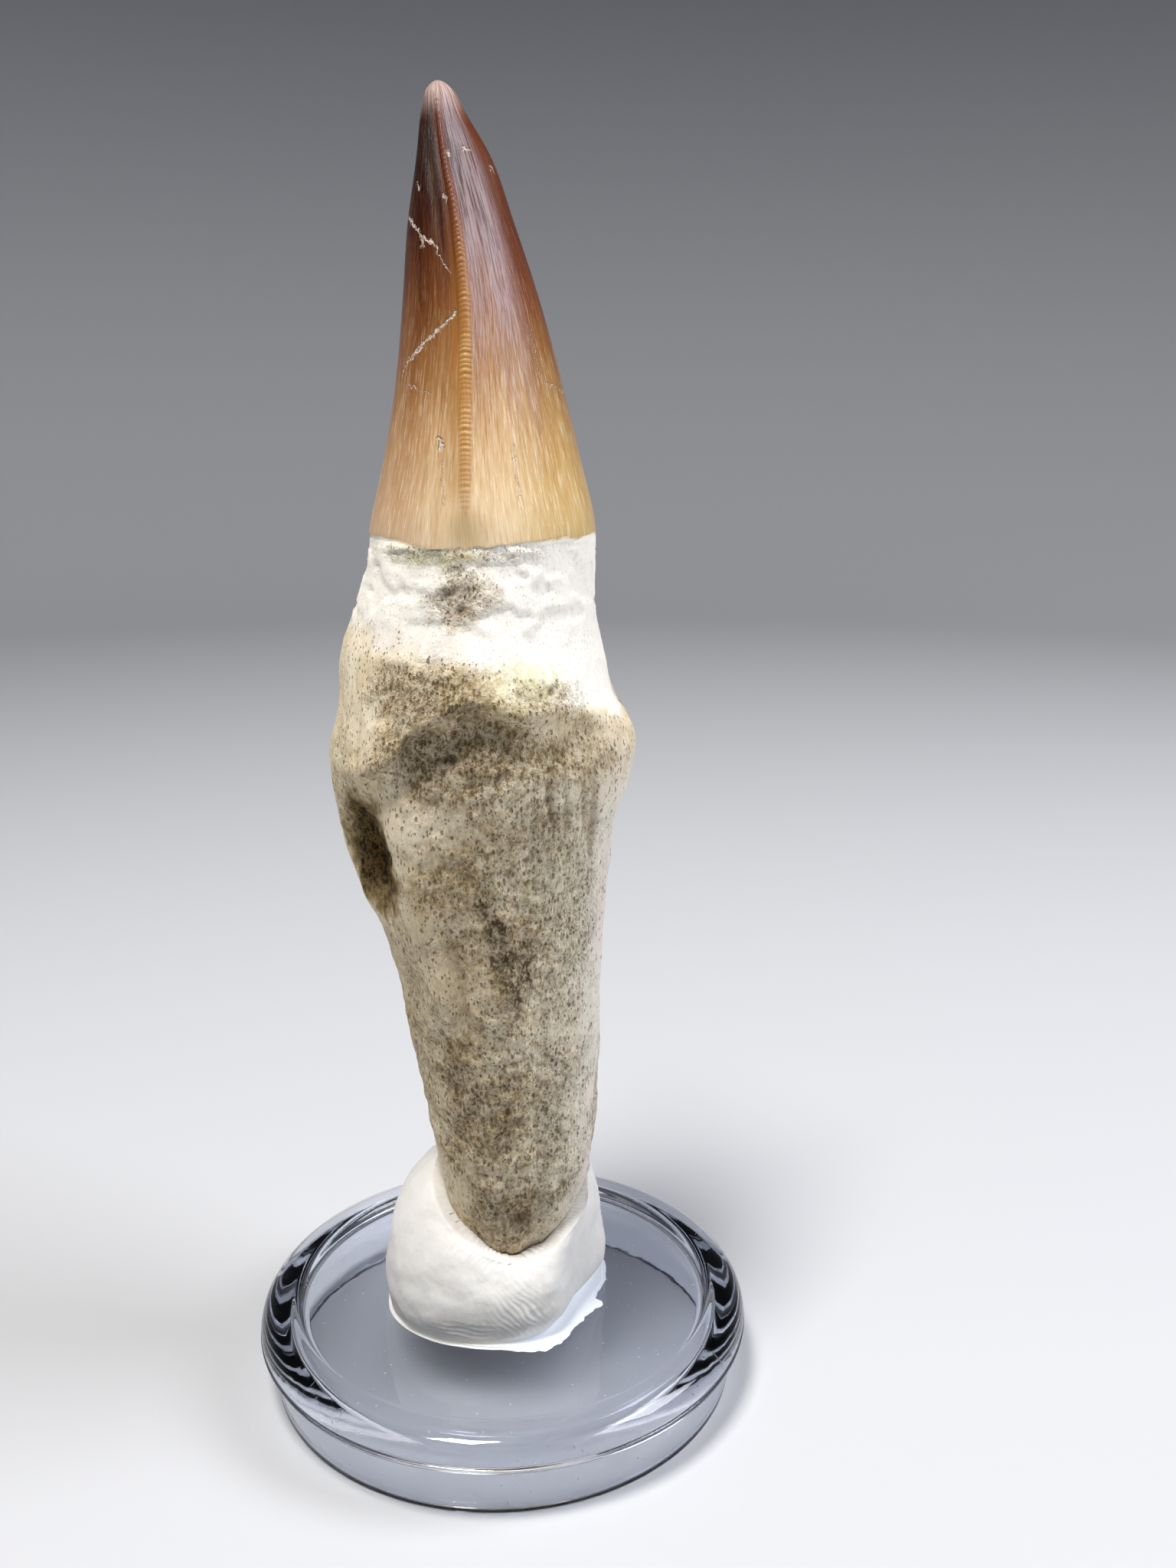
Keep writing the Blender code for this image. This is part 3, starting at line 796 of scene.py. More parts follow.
# Creases and seams of the root's front, as start, end, half width and height.
CREASES = (
    ((-1.5, 60.2), (0.4, 57.6), 0.22, -0.28),
    ((0.6, 59.2), (2.0, 57.8), 0.25, 0.18),
    ((-4.6, 53.9), (3.6, 53.1), 0.3, 0.2),
    ((-3.2, 54.8), (1.4, 54.4), 0.25, 0.14),
    ((-6.9, 56.0), (-5.6, 50.5), 0.45, 0.3),
    ((-5.0, 53.6), (-1.0, 54.6), 0.3, -0.22),
    ((-3.9, 40.5), (-2.7, 31.0), 0.6, 0.22),
    ((-2.6, 42.0), (-1.4, 31.0), 0.5, -0.2),
    ((7.6, 52.4), (7.2, 45.0), 0.26, -0.36),
    ((4.1, 53.4), (4.6, 48.4), 0.24, -0.34),
    ((5.4, 52.6), (5.6, 47.6), 0.22, -0.24),
    ((6.7, 52.0), (6.9, 47.0), 0.22, -0.28),
    ((3.0, 50.0), (3.3, 45.0), 0.2, -0.14),
    ((-4.2, 49.0), (-2.6, 38.0), 0.25, -0.16),
    ((-5.6, 45.0), (-4.2, 37.0), 0.22, 0.16),
    ((0.6, 34.0), (1.0, 24.0), 0.3, -0.16),
    ((2.3, 36.5), (2.4, 30.5), 0.2, 0.18),
    ((-3.2, 34.0), (-2.4, 20.0), 0.25, -0.14),
)
# The larger holes of the front, as x, z, radius and depth.
POCKMARKS = (
    (-1.5, 64.1, 0.27, 0.5),
    (1.7, 15.6, 0.7, 0.9),
    (4.5, 58.5, 0.26, 0.3),
    (4.2, 50.9, 0.28, 0.3),
    (-2.2, 54.0, 0.34, 0.3),
    (2.6, 46.5, 0.3, 0.3),
    (-6.0, 55.7, 0.35, 0.25),
)


def patch_mask(patches, z, turn, ragged):
    """Soft patches with ragged edges, joined into one mask."""
    total = np.zeros_like(z)
    for at, height, half_turn, half_height, strength in patches:
        off = np.hypot(turn_between(turn, at) / half_turn, (z - height) / half_height)
        total = np.maximum(total, strength * fade(-off + 0.5 * ragged, -1.2, -0.45))
    return total


def pockmarks(x, y, z):
    """How deep each place of the front lies in one of the few larger holes, in mm."""
    holes = [depth * hump(np.hypot(x - px, z - pz), radius) for px, pz, radius, depth in POCKMARKS]
    return sum(holes) * (y < -1.0)


def front_line_relief(x, y, z):
    """Creases and seams that stand in or out of the front of the root."""
    total = np.zeros_like(x)
    for (x1, z1), (x2, z2), width, height in CREASES:
        run_x, run_z = x2 - x1, z2 - z1
        along = np.clip(((x - x1) * run_x + (z - z1) * run_z) / (run_x**2 + run_z**2), 0.0, 1.0)
        off = np.hypot(x - x1 - along * run_x, z - z1 - along * run_z)
        tapered = np.sin(math.pi * (along * 0.9 + 0.05)) ** 0.5
        total += height * hump(off, width) * tapered
    return total * (y < -1.0)


def enamel_border(turn):
    """The height of the line where the enamel ends, which dips a little at the front edge."""
    angle = np.radians(turn)
    places = np.stack((np.cos(angle), np.sin(angle), 0 * angle), axis=-1)
    dip = 0.55 * hump(turn_between(turn, -8.0), 24.0)
    return CROWN_BASE + 0.15 + layered_noise(places, BORDER_WANDER) - dip


def carina(z, turn, form):
    """The cutting edges' relief, and masks of their serrations, honey strip and painted shadow line.
    """
    fading = fade(z, CROWN_BASE + 0.6, CROWN_BASE + 5.0)
    fading = fading * (1 - fade(z, CARINA_TOP - 1.4, CARINA_TOP))
    uneven = 0.8 * np.sin(z * 1.7) + 0.9 * np.sin(z * 5.1)
    waves = 0.5 + 0.5 * np.cos(2 * math.pi * z / SERRATION_PITCH + uneven)
    worn = noise_over(np.stack((0 * z, 0 * z, z), axis=-1), (1.0, 1.0, 2.4))
    worn = (0.3 + 0.7 * fade(worn, -0.4, 0.3)) * (1.0 - 0.6 * fade(z, 83.0, 91.0))
    slender = 1.0 - 0.45 * fade(z, 84.0, 97.0)
    total, ribs, strips, shade_lines = 0.0, 0.0, 0.0, 0.0
    for at, height in ((0.0, CARINA_HEIGHT), (180.0, BACK_CARINA_HEIGHT)):
        column = int(np.argmin(np.abs(turn_between(turn[0], at))))
        away = np.linalg.norm(form - form[:, column : column + 1], axis=-1)
        ridge = slender * hump(away, CARINA_HALF_WIDTH * slender) ** 0.8
        rib = waves * fade(-away / slender, -0.45, -0.22) * fading * worn
        groove = GROOVE_DEPTH * hump(away - 1.25, 0.33)
        total = total + ridge * height * fading + rib * SERRATION_DEPTH - groove * fading
        ribs = ribs + rib
        strips = strips + fade(-away / slender, -0.5, -0.26) * fading
        # A painted shadow line runs along one side of each strip.
        left_side = turn_between(turn, at) < 0.0
        shade_lines = shade_lines + hump(away / slender - 0.72, 0.22) * fading * left_side
    return total, ribs, strips, shade_lines


def pore_field(places):
    """How near each place is to the middle of a pore, from 0 to 1, with pores of mixed sizes."""
    spacing = np.array((PORE_SPACING, PORE_SPACING, PORE_SPACING * PORE_STRETCH))
    spots = (places / spacing).reshape(-1, 3)
    near = np.empty(len(spots))
    for i, spot in enumerate(spots):
        distances, middles = noise.voronoi(Vector(spot))
        size = 0.22 + 0.3 * noise.cell(middles[0] * 7.3)
        near[i] = 1.0 - distances[0] / max(size, 0.05)
    return np.clip(near, 0.0, 1.0).reshape(places.shape[:-1])


def root_surface(form, z, turn, below):
    """The root's own roughness, and the masks of its earth with painted shade, tint, pores and
    cement.
    """
    normals = surface_normals(form)
    x, y = form[..., 0], form[..., 1]
    ragged = layered_noise(form, PATCH_RAGGEDNESS)
    above = z - np.interp(x, LEDGE_X, LEDGE_Z)

    # Painted shade: a ragged band just under the ledge over the front, darkened like the ledge's
    # shadow with some earth, joins the earth mask.
    shade_under_ledge = fade(-above, 0.0, 0.7) * fade(above, -6.0, -2.0)
    shade_under_ledge = shade_under_ledge * hump(turn_between(turn, 18.0), 52.0)
    shade_under_ledge = 0.42 * shade_under_ledge * np.clip(0.9 + 0.9 * ragged, 0.2, 1.2)
    earth_and_shade = np.maximum(patch_mask(EARTH_AND_SHADE_PATCHES, z, turn, ragged), shade_under_ledge)
    on_ledge = fade(above + 0.5 * ragged, 0.0, 0.8)
    on_ledge = on_ledge * fade(turn, 6.0, 26.0) * (1.0 - fade(turn, 95.0, 125.0))
    slant = 0.035 * np.clip(turn, -50.0, 50.0)
    cement = np.maximum(fade(z + slant + 1.2 * ragged, 59.7, 61.6), on_ledge)
    pit = fade(pit_nearness(z, turn) + 0.4 * ragged, -0.25, 0.9)
    olive = patch_mask(OLIVE_PATCHES, z, turn, ragged)
    open_bone = patch_mask(OPEN_BONE, z, turn, 0.6 * ragged)
    open_bone = np.maximum(open_bone, np.maximum(0.8 * earth_and_shade, pit))
    pores = pore_field(form) * fade(open_bone + 0.3 * ragged, 0.1, 0.9)

    lumps = layered_noise(form, ROOT_LUMPS)
    fibres = layered_noise(form, ROOT_FIBRES) * fade(-z, -53.0, -44.0)
    plates = fade(layered_noise(form, CEMENT_FLAKES), -0.06, 0.04) - 0.5
    plates = PLATE_HEIGHT * plates * fade(z, 61.5, 63.5)
    pocks = pockmarks(x, y, z)
    creases = front_line_relief(x, y, z)
    edge = 0.32 * hump(above, 0.55) - 0.27 * hump(above + 1.05, 0.6)
    edge = edge * hump(turn_between(turn, LEDGE_TURN), 60.0) * np.clip(0.8 + 0.8 * ragged, 0.2, 1.3)
    relief = edge + lumps + fibres + plates + layered_noise(form, ROOT_GRIT) * open_bone
    relief = relief - PORE_DEPTH * pores + creases - pocks
    filled = np.clip(pocks * 3.0 - creases * 2.2, 0.0, 1.0)
    form = form + normals * (relief * below)[..., None]
    masks = {"earth_and_shade": earth_and_shade, "pit": pit, "olive": olive, "pore": np.maximum(pores, filled)}
    masks.update({"open_bone": open_bone, "cement": cement})
    return form, masks


def crown_surface(form, z, turn, enamel):
    """The crown's gentle flutes and its two serrated edges."""
    normals = surface_normals(form)
    rise = np.clip((z - CROWN_BASE) / (TIP - CROWN_BASE), 0.0, 1.0)
    angle = np.radians(turn)
    flutes = layered_noise(np.stack((np.cos(angle), np.sin(angle), z / 60.0), axis=-1), CROWN_FLUTES)
    edges, ribs, strips, shade_lines = carina(z, turn, form)
    relief = flutes * (1 - 0.7 * rise) * (1 - fade(rise, 0.9, 0.97)) + edges + ENAMEL_STEP * enamel
    form = form + normals * (relief * fade(TIP - z, 0.0, 1.0))[..., None]
    return form, {"enamel": enamel, "rib": ribs, "strip": strips, "line": shade_lines}


def crown_turns():
    """Turns round the crown, crowded together at the front and back edges."""
    t = np.linspace(-1.0, 1.0, CROWN_COLUMNS, endpoint=False)
    return 180.0 * (t - 0.12 * np.sin(2 * math.pi * t))


def make_tooth():
    """Skins the root and the crown with one closed mesh, and keeps the masks for their finish."""
    seam = CROWN_BASE - SEAM_DROP
    bend = np.linspace(0.05, math.pi / 2, END_ROWS)
    root_heights = ROOT_END + ROOT_END_ROUNDING * (1 - np.cos(bend))
    straight = np.linspace(root_heights[-1], seam, ROOT_ROWS + 1)
    root_heights = np.concatenate((root_heights, straight[1:]))
    bend = np.linspace(math.pi / 2, 0.06, END_ROWS)
    crown_heights = np.linspace(seam + 0.1, TIP - TIP_ROUNDING, CROWN_ROWS)
    dome = TIP - TIP_ROUNDING * (1 - np.cos(bend[1:]))
    crown_heights = np.concatenate((crown_heights, dome))
    root_turns = np.linspace(-180.0, 180.0, ROOT_COLUMNS, endpoint=False)
    rings, flow = [], []
    gathered = {name: [] for name in TOOTH_MASKS}
    for turns, heights in ((root_turns, root_heights), (crown_turns(), crown_heights)):
        form, z, turn = tooth_form(turns, heights)
        over_border = z - enamel_border(turn)
        enamel = fade(over_border, -0.06, 0.06)
        form, masks = root_surface(form, z, turn, 1.0 - fade(over_border, -0.35, 0.0))
        form, crown_masks = crown_surface(form, z, turn, enamel)
        rings.extend(form)
        masks.update(crown_masks)
        for name, values in masks.items():
            gathered[name].append(values.ravel())
        angle = np.radians(turn)
        along = np.stack((np.cos(angle), np.sin(angle), z / STREAK_LENGTH), axis=-1)
        flow.append(along.reshape(-1, 3))
    low, high = rings[0].mean(axis=0), rings[-1].mean(axis=0)
    low[2], high[2] = ROOT_END, TIP - 0.01
    tooth = closed_skin("tooth_crown_and_root", rings, tuple(low), tuple(high))
    for name, (root, crown) in gathered.items():
        add_masks(tooth, {name: np.concatenate((root[:1], root, crown, crown[-1:]))})
    flow = np.concatenate((flow[0][:1], *flow, flow[1][-1:]))
    directions = tooth.data.attributes.new("flow", "FLOAT_VECTOR", "POINT").data
    directions.foreach_set("vector", flow.ravel())
    return tooth


# Scales of the finish's noises, for each mm or round the tooth, and its other measures.
BROAD_SCALE = 5.0
STREAK_SCALE = 22.0
LOW_FINE_SCALE = 60.0
HIGH_FINE_SCALE = 24.0
GRIT_SCALE = 2.9
GRAIN_SCALE = 5.0
FIBRE_SCALE = 26.0
HOLE_SCALE = 2.9
PRICK_SCALE = 4.6
DOT_RADIUS = 0.28
CRACK_WAVER = 0.85
ENAMEL_COAT = 0.07
FINISH_DEPTH = 0.38
# The enamel's colour up the crown, from its base at 0 to its tip at 1.
ENAMEL_STOPS = (
    (0.0, tone(228, 206, 170)),
    (0.08, tone(222, 194, 152)),
    (0.2, tone(204, 168, 122)),
    (0.36, tone(160, 114, 66)),
    (0.52, tone(116, 68, 32)),
    (0.68, tone(68, 30, 13)),
    (0.84, tone(30, 9, 4)),
    (0.95, tone(58, 26, 15)),
)
# Pairs of enamel colours: low and high on the crown.
AMBER = (tone(214, 196, 130), tone(255, 160, 110))
# The plum pair darkens the left side: partly the enamel's own plum tone, partly painted shade of the
# side turned from the light.
PLUM_AND_SHADE = (tone(196, 168, 160), tone(136, 96, 80))
LIGHT_STREAK = (tone(244, 224, 190), tone(104, 62, 38))
DARK_STREAK = (tone(178, 128, 74), tone(22, 8, 3))
# The groove pair is painted shade between the serration beads and beside the strip.
GROOVE_SHADE = (tone(168, 112, 50), tone(92, 38, 18))
BEAD = (tone(210, 168, 104), tone(156, 96, 62))
# The chalky tip's two colours, and single ones.
CHALK = (tone(142, 98, 76), tone(214, 194, 190))
RED_BROWN = tone(106, 52, 22)
# The painted sheen is the tint that the right light's reflection gives the crown.
PAINTED_SHEEN = tone(188, 170, 176)
SMUDGE = tone(148, 118, 74)
SMUDGE_PLACE = (-1.0, -9.0, 69.2)
CRACK_FILL = tone(226, 210, 194)
# Pairs of root colours, mixed by noise or by how much earth and painted shade there is, and then
# single ones.
CREAM = (tone(222, 206, 172), tone(234, 222, 196))
OPEN_BONE_TONES = (tone(188, 168, 128), tone(234, 221, 192))
THIN_EARTH_AND_SHADE = (tone(156, 130, 90), tone(122, 98, 66))
UMBER = (tone(54, 38, 22), tone(90, 67, 40))
OLIVE_BROWN = (tone(134, 104, 62), tone(108, 76, 50))
# Painted highlights for the crests of the grit.
CREST_HIGHLIGHT = (tone(246, 238, 220), tone(200, 184, 156))
# The pit's colours: brown earth, and painted shade that deepens to near black in the hollow.
PIT_BROWN = (tone(112, 90, 52), tone(170, 146, 96))
PIT_SHADE = (tone(104, 82, 44), tone(16, 10, 4))
ROSE = tone(206, 188, 176)
TAN = tone(186, 162, 120)
STRAW = tone(216, 198, 142)
CEMENT_WHITE = tone(247, 243, 234)
LEAF_TINT = tone(216, 218, 150)
# Painted light of the root's right side: pale at its edge, greyer further in.
PAINTED_RIGHT_LIGHT = tone(224, 217, 214)
PAINTED_COOL_LIGHT = tone(222, 216, 200)
THICK_EARTH = tone(80, 62, 40)
SOOT_TINT = tone(212, 198, 172)
# Hairline cracks and chips of the crown's front, as start, end, half width and strength. A chip
# is a crack with hardly any length.
CRACKS = (
    ((-5.6, 90.3), (-4.5, 88.8), 0.1, 1.0),
    ((-4.5, 88.8), (-3.4, 88.0), 0.12, 0.9),
    ((-3.4, 88.0), (-3.1, 87.3), 0.08, 0.8),
    ((-3.1, 87.3), (-2.4, 86.2), 0.06, 0.65),
    ((-4.5, 88.8), (-4.3, 87.9), 0.1, 0.6),
    ((-1.9, 83.6), (-2.5, 82.9), 0.12, 0.95),
    ((-2.5, 82.9), (-3.6, 82.0), 0.1, 0.8),
    ((-3.6, 82.0), (-4.6, 81.2), 0.1, 0.9),
    ((-4.6, 81.2), (-5.6, 80.2), 0.1, 0.85),
    ((-5.6, 80.2), (-5.9, 79.5), 0.08, 0.5),
    ((-5.3, 79.0), (-4.8, 78.6), 0.09, 0.6),
    ((-4.8, 78.6), (-3.6, 78.2), 0.06, 0.35),
    ((3.9, 79.1), (5.2, 78.4), 0.07, 0.5),
    ((-3.0, 75.3), (-2.8, 74.5), 0.17, 0.9),
    ((-4.8, 92.4), (-4.7, 92.0), 0.09, 0.7),
    ((-2.8, 91.4), (-2.7, 91.0), 0.1, 0.7),
    ((-1.6, 94.8), (-1.3, 94.6), 0.13, 0.8),
    ((-2.7, 94.4), (-2.6, 94.0), 0.07, 0.6),
    ((0.2, 93.7), (0.4, 93.2), 0.07, 0.5),
    ((2.9, 82.9), (3.6, 79.5), 0.035, 0.7),
    ((1.9, 75.0), (2.5, 70.6), 0.035, 0.7),
    ((-2.75, 73.8), (-2.6, 71.0), 0.04, 0.5),
)


def hairline_group():
    """A thin line between two places on the front, as a mask."""
    inputs = (
        ("Vector", "Place", (0.0, 0.0, 0.0)),
        ("Vector", "Start", (0.0, 0.0, 0.0)),
        ("Vector", "End", (0.0, 0.0, 1.0)),
        ("Float", "Half Width", 0.1),
        ("Float", "Strength", 1.0),
    )
    tree, given, out = new_group("hairline", inputs, (("Float", "Mask"),))
    offset = vector_maths(tree, "SUBTRACT", given["Place"], given["Start"])
    run = vector_maths(tree, "SUBTRACT", given["End"], given["Start"])
    covered = vector_maths(tree, "DOT_PRODUCT", offset, run, 1)
    length = vector_maths(tree, "DOT_PRODUCT", run, run, 1)
    along = calculate(tree, "DIVIDE", covered, length, clamp=True)
    away = vector_maths(tree, "DISTANCE", offset, lengthened(tree, run, along), 1)
    line = ramp_between(tree, calculate(tree, "DIVIDE", away, given["Half Width"]), 1.3, 0.5)
    tree.links.new(times(tree, line, given["Strength"]), out["Mask"])
    return tree


def crack_mask(tree, place):
    """All the cracks and chips of the front, wavering and broken, joined into one mask."""
    jitter = shader_node(tree, "TexNoise", {"Vector": place, "Scale": 2.2, "Detail": 3.0})
    shift = vector_maths(tree, "SUBTRACT", jitter.outputs["Color"], (0.5, 0.5, 0.5))
    wires = {0: shift, 1: (CRACK_WAVER,) * 3, 2: place}
    wavering = shader_node(tree, "VectorMath", wires, operation="MULTIPLY_ADD").outputs[0]
    flat = vector_maths(tree, "MULTIPLY", wavering, (1.0, 0.0, 1.0))
    total = 0.0
    for (x1, z1), (x2, z2), width, strength in CRACKS:
        wires = {"Place": flat, "Start": (x1, 0.0, z1), "End": (x2, 0.0, z2)}
        wires.update({"Half Width": width, "Strength": strength})
        total = calculate(tree, "MAXIMUM", total, use_group(tree, hairline, wires)["Mask"])
    broken = ramp_between(tree, noise_value(tree, place, 3.4, 2.0), 0.32, 0.58, 0.4, 1.0)
    in_front = ramp_between(tree, along_axis(tree, place, "Y"), 3.0, 1.5)
    return times(tree, total, broken, in_front)


def stone_ramp(tree, value, stops):
    ramp = shader_node(tree, "ValToRGB", {"Fac": value})
    elements = ramp.color_ramp.elements
    while len(elements) < len(stops):
        elements.new(0.5)
    for element, (position, colour) in zip(elements, stops):
        element.position = position
        element.color = colour
    return ramp.outputs["Color"]


def tinted(tree, colour, tint):
    return mix_colours(tree, 1.0, colour, tint, "MULTIPLY")


def swayed(tree, value, sway, reach):
    """Shifts a value up and down by a noise that runs from 0 to 1."""
    return scaled(tree, calculate(tree, "SUBTRACT", sway, 0.5), reach, value)


def enamel_finish(tree, place, flow):
    """Colour, roughness and fine height of the fossil enamel."""
    height = along_axis(tree, place, "Z")
    side = along_axis(tree, flow, "Y")
    broad = noise_value(tree, flow, BROAD_SCALE, 3.0)
    streaks = noise_value(tree, flow, STREAK_SCALE, 4.0, 0.6)
    length = TIP - CROWN_BASE
    rise = scaled(tree, height, 1.0 / length, -CROWN_BASE / length)
    upper = ramp_between(tree, rise, 0.3, 0.85)
    low_fine = noise_value(tree, flow, LOW_FINE_SCALE, 3.0, 0.6)
    high_fine = noise_value(tree, flow, HIGH_FINE_SCALE, 4.0, 0.7)
    fine = mix_numbers(tree, upper, low_fine, high_fine)
    rise = swayed(tree, rise, streaks, 0.22)
    rise = swayed(tree, rise, broad, 0.25)
    colour = stone_ramp(tree, rise, ENAMEL_STOPS)

    amber = tinted(tree, colour, mix_colours(tree, upper, *AMBER))
    colour = glaze(tree, colour, amber, ramp_between(tree, side, 0.2, 0.75), 0.7)
    # The left side is darkened: partly plum enamel, partly painted shade.
    plum_and_shade = tinted(tree, colour, mix_colours(tree, upper, *PLUM_AND_SHADE))
    colour = glaze(tree, colour, plum_and_shade, ramp_between(tree, side, -0.05, -0.7), 0.6)
    colour = glaze(tree, colour, RED_BROWN, ramp_between(tree, side, 0.55, 0.9), upper, 0.7)
    # Painted sheen: the right light's reflection on the facet right of the front edge, stronger up
    # the crown and laid in streaks where fine scratches catch it.
    facet_end = ramp_between(tree, side, 0.88, 0.64)
    right_facet = times(tree, ramp_between(tree, side, 0.0, 0.12), facet_end)
    sheen = ramp_between(tree, rise, 0.1, 0.7, 0.06, 0.52)
    silky = ramp_between(tree, fine, 0.4, 0.58, 0.12, 1.0)
    colour = glaze(tree, colour, PAINTED_SHEEN, right_facet, sheen, silky)

    light = mix_colours(tree, ramp_between(tree, rise, 0.0, 0.8), *LIGHT_STREAK)
    colour = mix_colours(tree, ramp_between(tree, fine, 0.52, 0.66, 0.0, 0.5), colour, light)
    dark = mix_colours(tree, rise, *DARK_STREAK)
    dark_share = ramp_between(tree, rise, 0.0, 0.5, 0.3, 0.75)
    colour = glaze(tree, colour, dark, ramp_between(tree, fine, 0.48, 0.34), dark_share)

    # The groove colour is painted shade: it darkens the honey strip between the serration beads and
    # draws the shadow line beside the strip.
    groove = mix_colours(tree, upper, *GROOVE_SHADE)
    bead = mix_colours(tree, upper, *BEAD)
    honey = mix_colours(tree, mask_of(tree, "rib"), groove, bead)
    colour = glaze(tree, colour, groove, mask_of(tree, "line"), 0.5)
    colour = glaze(tree, colour, honey, mask_of(tree, "strip"), 0.7)

    worn = ramp_between(tree, scaled(tree, streaks, 2.4, height), TIP - 1.8, TIP + 0.8)
    chalky = mix_colours(tree, ramp_between(tree, fine, 0.42, 0.58), *CHALK)
    colour = glaze(tree, colour, chalky, worn, 0.8)
    smudge_off = vector_maths(tree, "DISTANCE", place, SMUDGE_PLACE, 1)
    smudge = ramp_between(tree, scaled(tree, streaks, 1.4, smudge_off), 3.1, 0.9)
    colour = glaze(tree, colour, SMUDGE, smudge, 0.5)
    cracks = crack_mask(tree, place)
    colour = glaze(tree, colour, CRACK_FILL, cracks, 0.85)

    rough = scaled(tree, streaks, 0.22, 0.2)
    rough = calculate(tree, "MAXIMUM", rough, times(tree, cracks, 0.7))
    rough = calculate(tree, "MAXIMUM", rough, times(tree, worn, 0.55))
    return colour, rough, scaled(tree, fine, 0.16, times(tree, cracks, -0.5))


def dots(tree, place, scale, share):
    """Small ragged dots in a share of the cells of a scattered grid."""
    wires = {"Vector": place, "Scale": scale, "Randomness": 1.0}
    cells = shader_node(tree, "TexVoronoi", wires).outputs
    chance = shader_node(tree, "SeparateColor", {0: cells["Color"]}).outputs[0]
    wobble = scaled(tree, noise_value(tree, place, scale * 2.0, 2.0), 0.6, -0.3)
    distance = calculate(tree, "ADD", cells["Distance"], wobble)
    beyond = calculate(tree, "SUBTRACT", distance, DOT_RADIUS)
    chosen = ramp_between(tree, calculate(tree, "SUBTRACT", share, chance), -0.03, 0.03)
    return times(tree, ramp_between(tree, beyond, 0.06, -0.08), chosen)


def root_finish(tree, place, flow):
    """Colour, roughness and fine height of the fossil cement and bone."""
    height = along_axis(tree, place, "Z")
    side = along_axis(tree, flow, "Y")
    wide = noise_value(tree, place, 0.22, 4.0, 0.6)
    middle = noise_value(tree, place, 0.9, 5.0, 0.65)
    upright = vector_maths(tree, "MULTIPLY", place, (1.0, 1.0, 0.72))
    grit = noise_value(tree, upright, GRIT_SCALE, 4.0, 0.66)
    grain = noise_value(tree, place, GRAIN_SCALE, 3.0, 0.7)
    fibre = noise_value(tree, flow, FIBRE_SCALE, 5.0, 0.65)
    masks = ("earth_and_shade", "pit", "olive", "pore", "open_bone", "cement")
    earth_and_shade, pit, olive, pore, bone, cement = [mask_of(tree, name) for name in masks]

    patchy = ramp_between(tree, wide, 0.35, 0.65)
    sound = mix_colours(tree, patchy, *CREAM)
    sound = mix_colours(tree, ramp_between(tree, middle, 0.5, 0.72, 0.0, 0.55), sound, ROSE)
    sound = mix_colours(tree, ramp_between(tree, fibre, 0.48, 0.72, 0.0, 0.6), sound, TAN)
    opened = mix_colours(tree, patchy, *OPEN_BONE_TONES)
    opened = mix_colours(tree, ramp_between(tree, middle, 0.4, 0.65, 0.0, 0.5), opened, STRAW)
    colour = glaze(tree, sound, opened, bone, 0.75)
    white = times(tree, cement, scaled(tree, earth_and_shade, -0.8, 0.92))
    colour = mix_colours(tree, white, colour, CEMENT_WHITE)
    leafy = ramp_between(tree, middle, 0.36, 0.6, 0.25, 0.95)
    colour = glaze(tree, colour, tinted(tree, colour, LEAF_TINT), olive, leafy)
    # Painted light: below the ledge the root's right side is paled toward its edge and greyed
    # further in, as the cool light from the right would light it.
    below_ledge = ramp_between(tree, height, 53.0, 47.0)
    colour = glaze(tree, colour, PAINTED_RIGHT_LIGHT, ramp_between(tree, side, 0.6, 0.95), below_ledge, 0.8)
    below_ledge = ramp_between(tree, height, 54.0, 51.0)
    colour = glaze(tree, colour, PAINTED_COOL_LIGHT, ramp_between(tree, side, 0.2, 0.6), below_ledge, 0.5)

    thin = mix_colours(tree, ramp_between(tree, earth_and_shade, 0.4, 0.7), *THIN_EARTH_AND_SHADE)
    wash = mix_colours(tree, ramp_between(tree, earth_and_shade, 0.7, 1.0), thin, THICK_EARTH)
    clumps = ramp_between(tree, middle, 0.3, 0.6, 0.45, 0.95)
    kept = ramp_between(tree, grit, 0.62, 0.42, 0.5, 1.0)
    colour = glaze(tree, colour, wash, earth_and_shade, clumps, kept)
    # The dark earth tones fill the pores and specks, and darken the grit's hollows as painted shade;
    # the grit's crests get painted highlights.
    umber = mix_colours(tree, wide, *UMBER)
    olive_brown = mix_colours(tree, middle, *OLIVE_BROWN)
    pore_earth_and_shade = mix_colours(tree, ramp_between(tree, earth_and_shade, 0.4, 0.95), olive_brown, umber)
    colour = glaze(tree, colour, pore_earth_and_shade, bone, 0.7, ramp_between(tree, grit, 0.5, 0.36))
    crest_highlight = mix_colours(tree, earth_and_shade, *CREST_HIGHLIGHT)
    colour = glaze(tree, colour, crest_highlight, bone, 0.75, ramp_between(tree, grit, 0.51, 0.62))
    sooty = ramp_between(tree, grain, 0.52, 0.36)
    soot = tinted(tree, colour, SOOT_TINT)
    colour = glaze(tree, colour, soot, sooty, scaled(tree, bone, 0.6, 0.15))

    slits = vector_maths(tree, "MULTIPLY", place, (1.0, 1.0, 0.55))
    holes = dots(tree, slits, HOLE_SCALE, scaled(tree, bone, 0.5, 0.03))
    pricks = dots(tree, slits, PRICK_SCALE, scaled(tree, middle, 1.2, -0.25))
    specks = calculate(tree, "MAXIMUM", holes, times(tree, pricks, 0.85))
    sound_cement = times(tree, white, calculate(tree, "SUBTRACT", 1.0, bone))
    specks = times(tree, specks, ramp_between(tree, sound_cement, 0.3, 0.8, 1.0, 0.12))
    specks = calculate(tree, "MAXIMUM", specks, ramp_between(tree, pore, 0.15, 0.7, 0.0, 0.65))
    colour = glaze(tree, colour, pore_earth_and_shade, specks, 0.68)

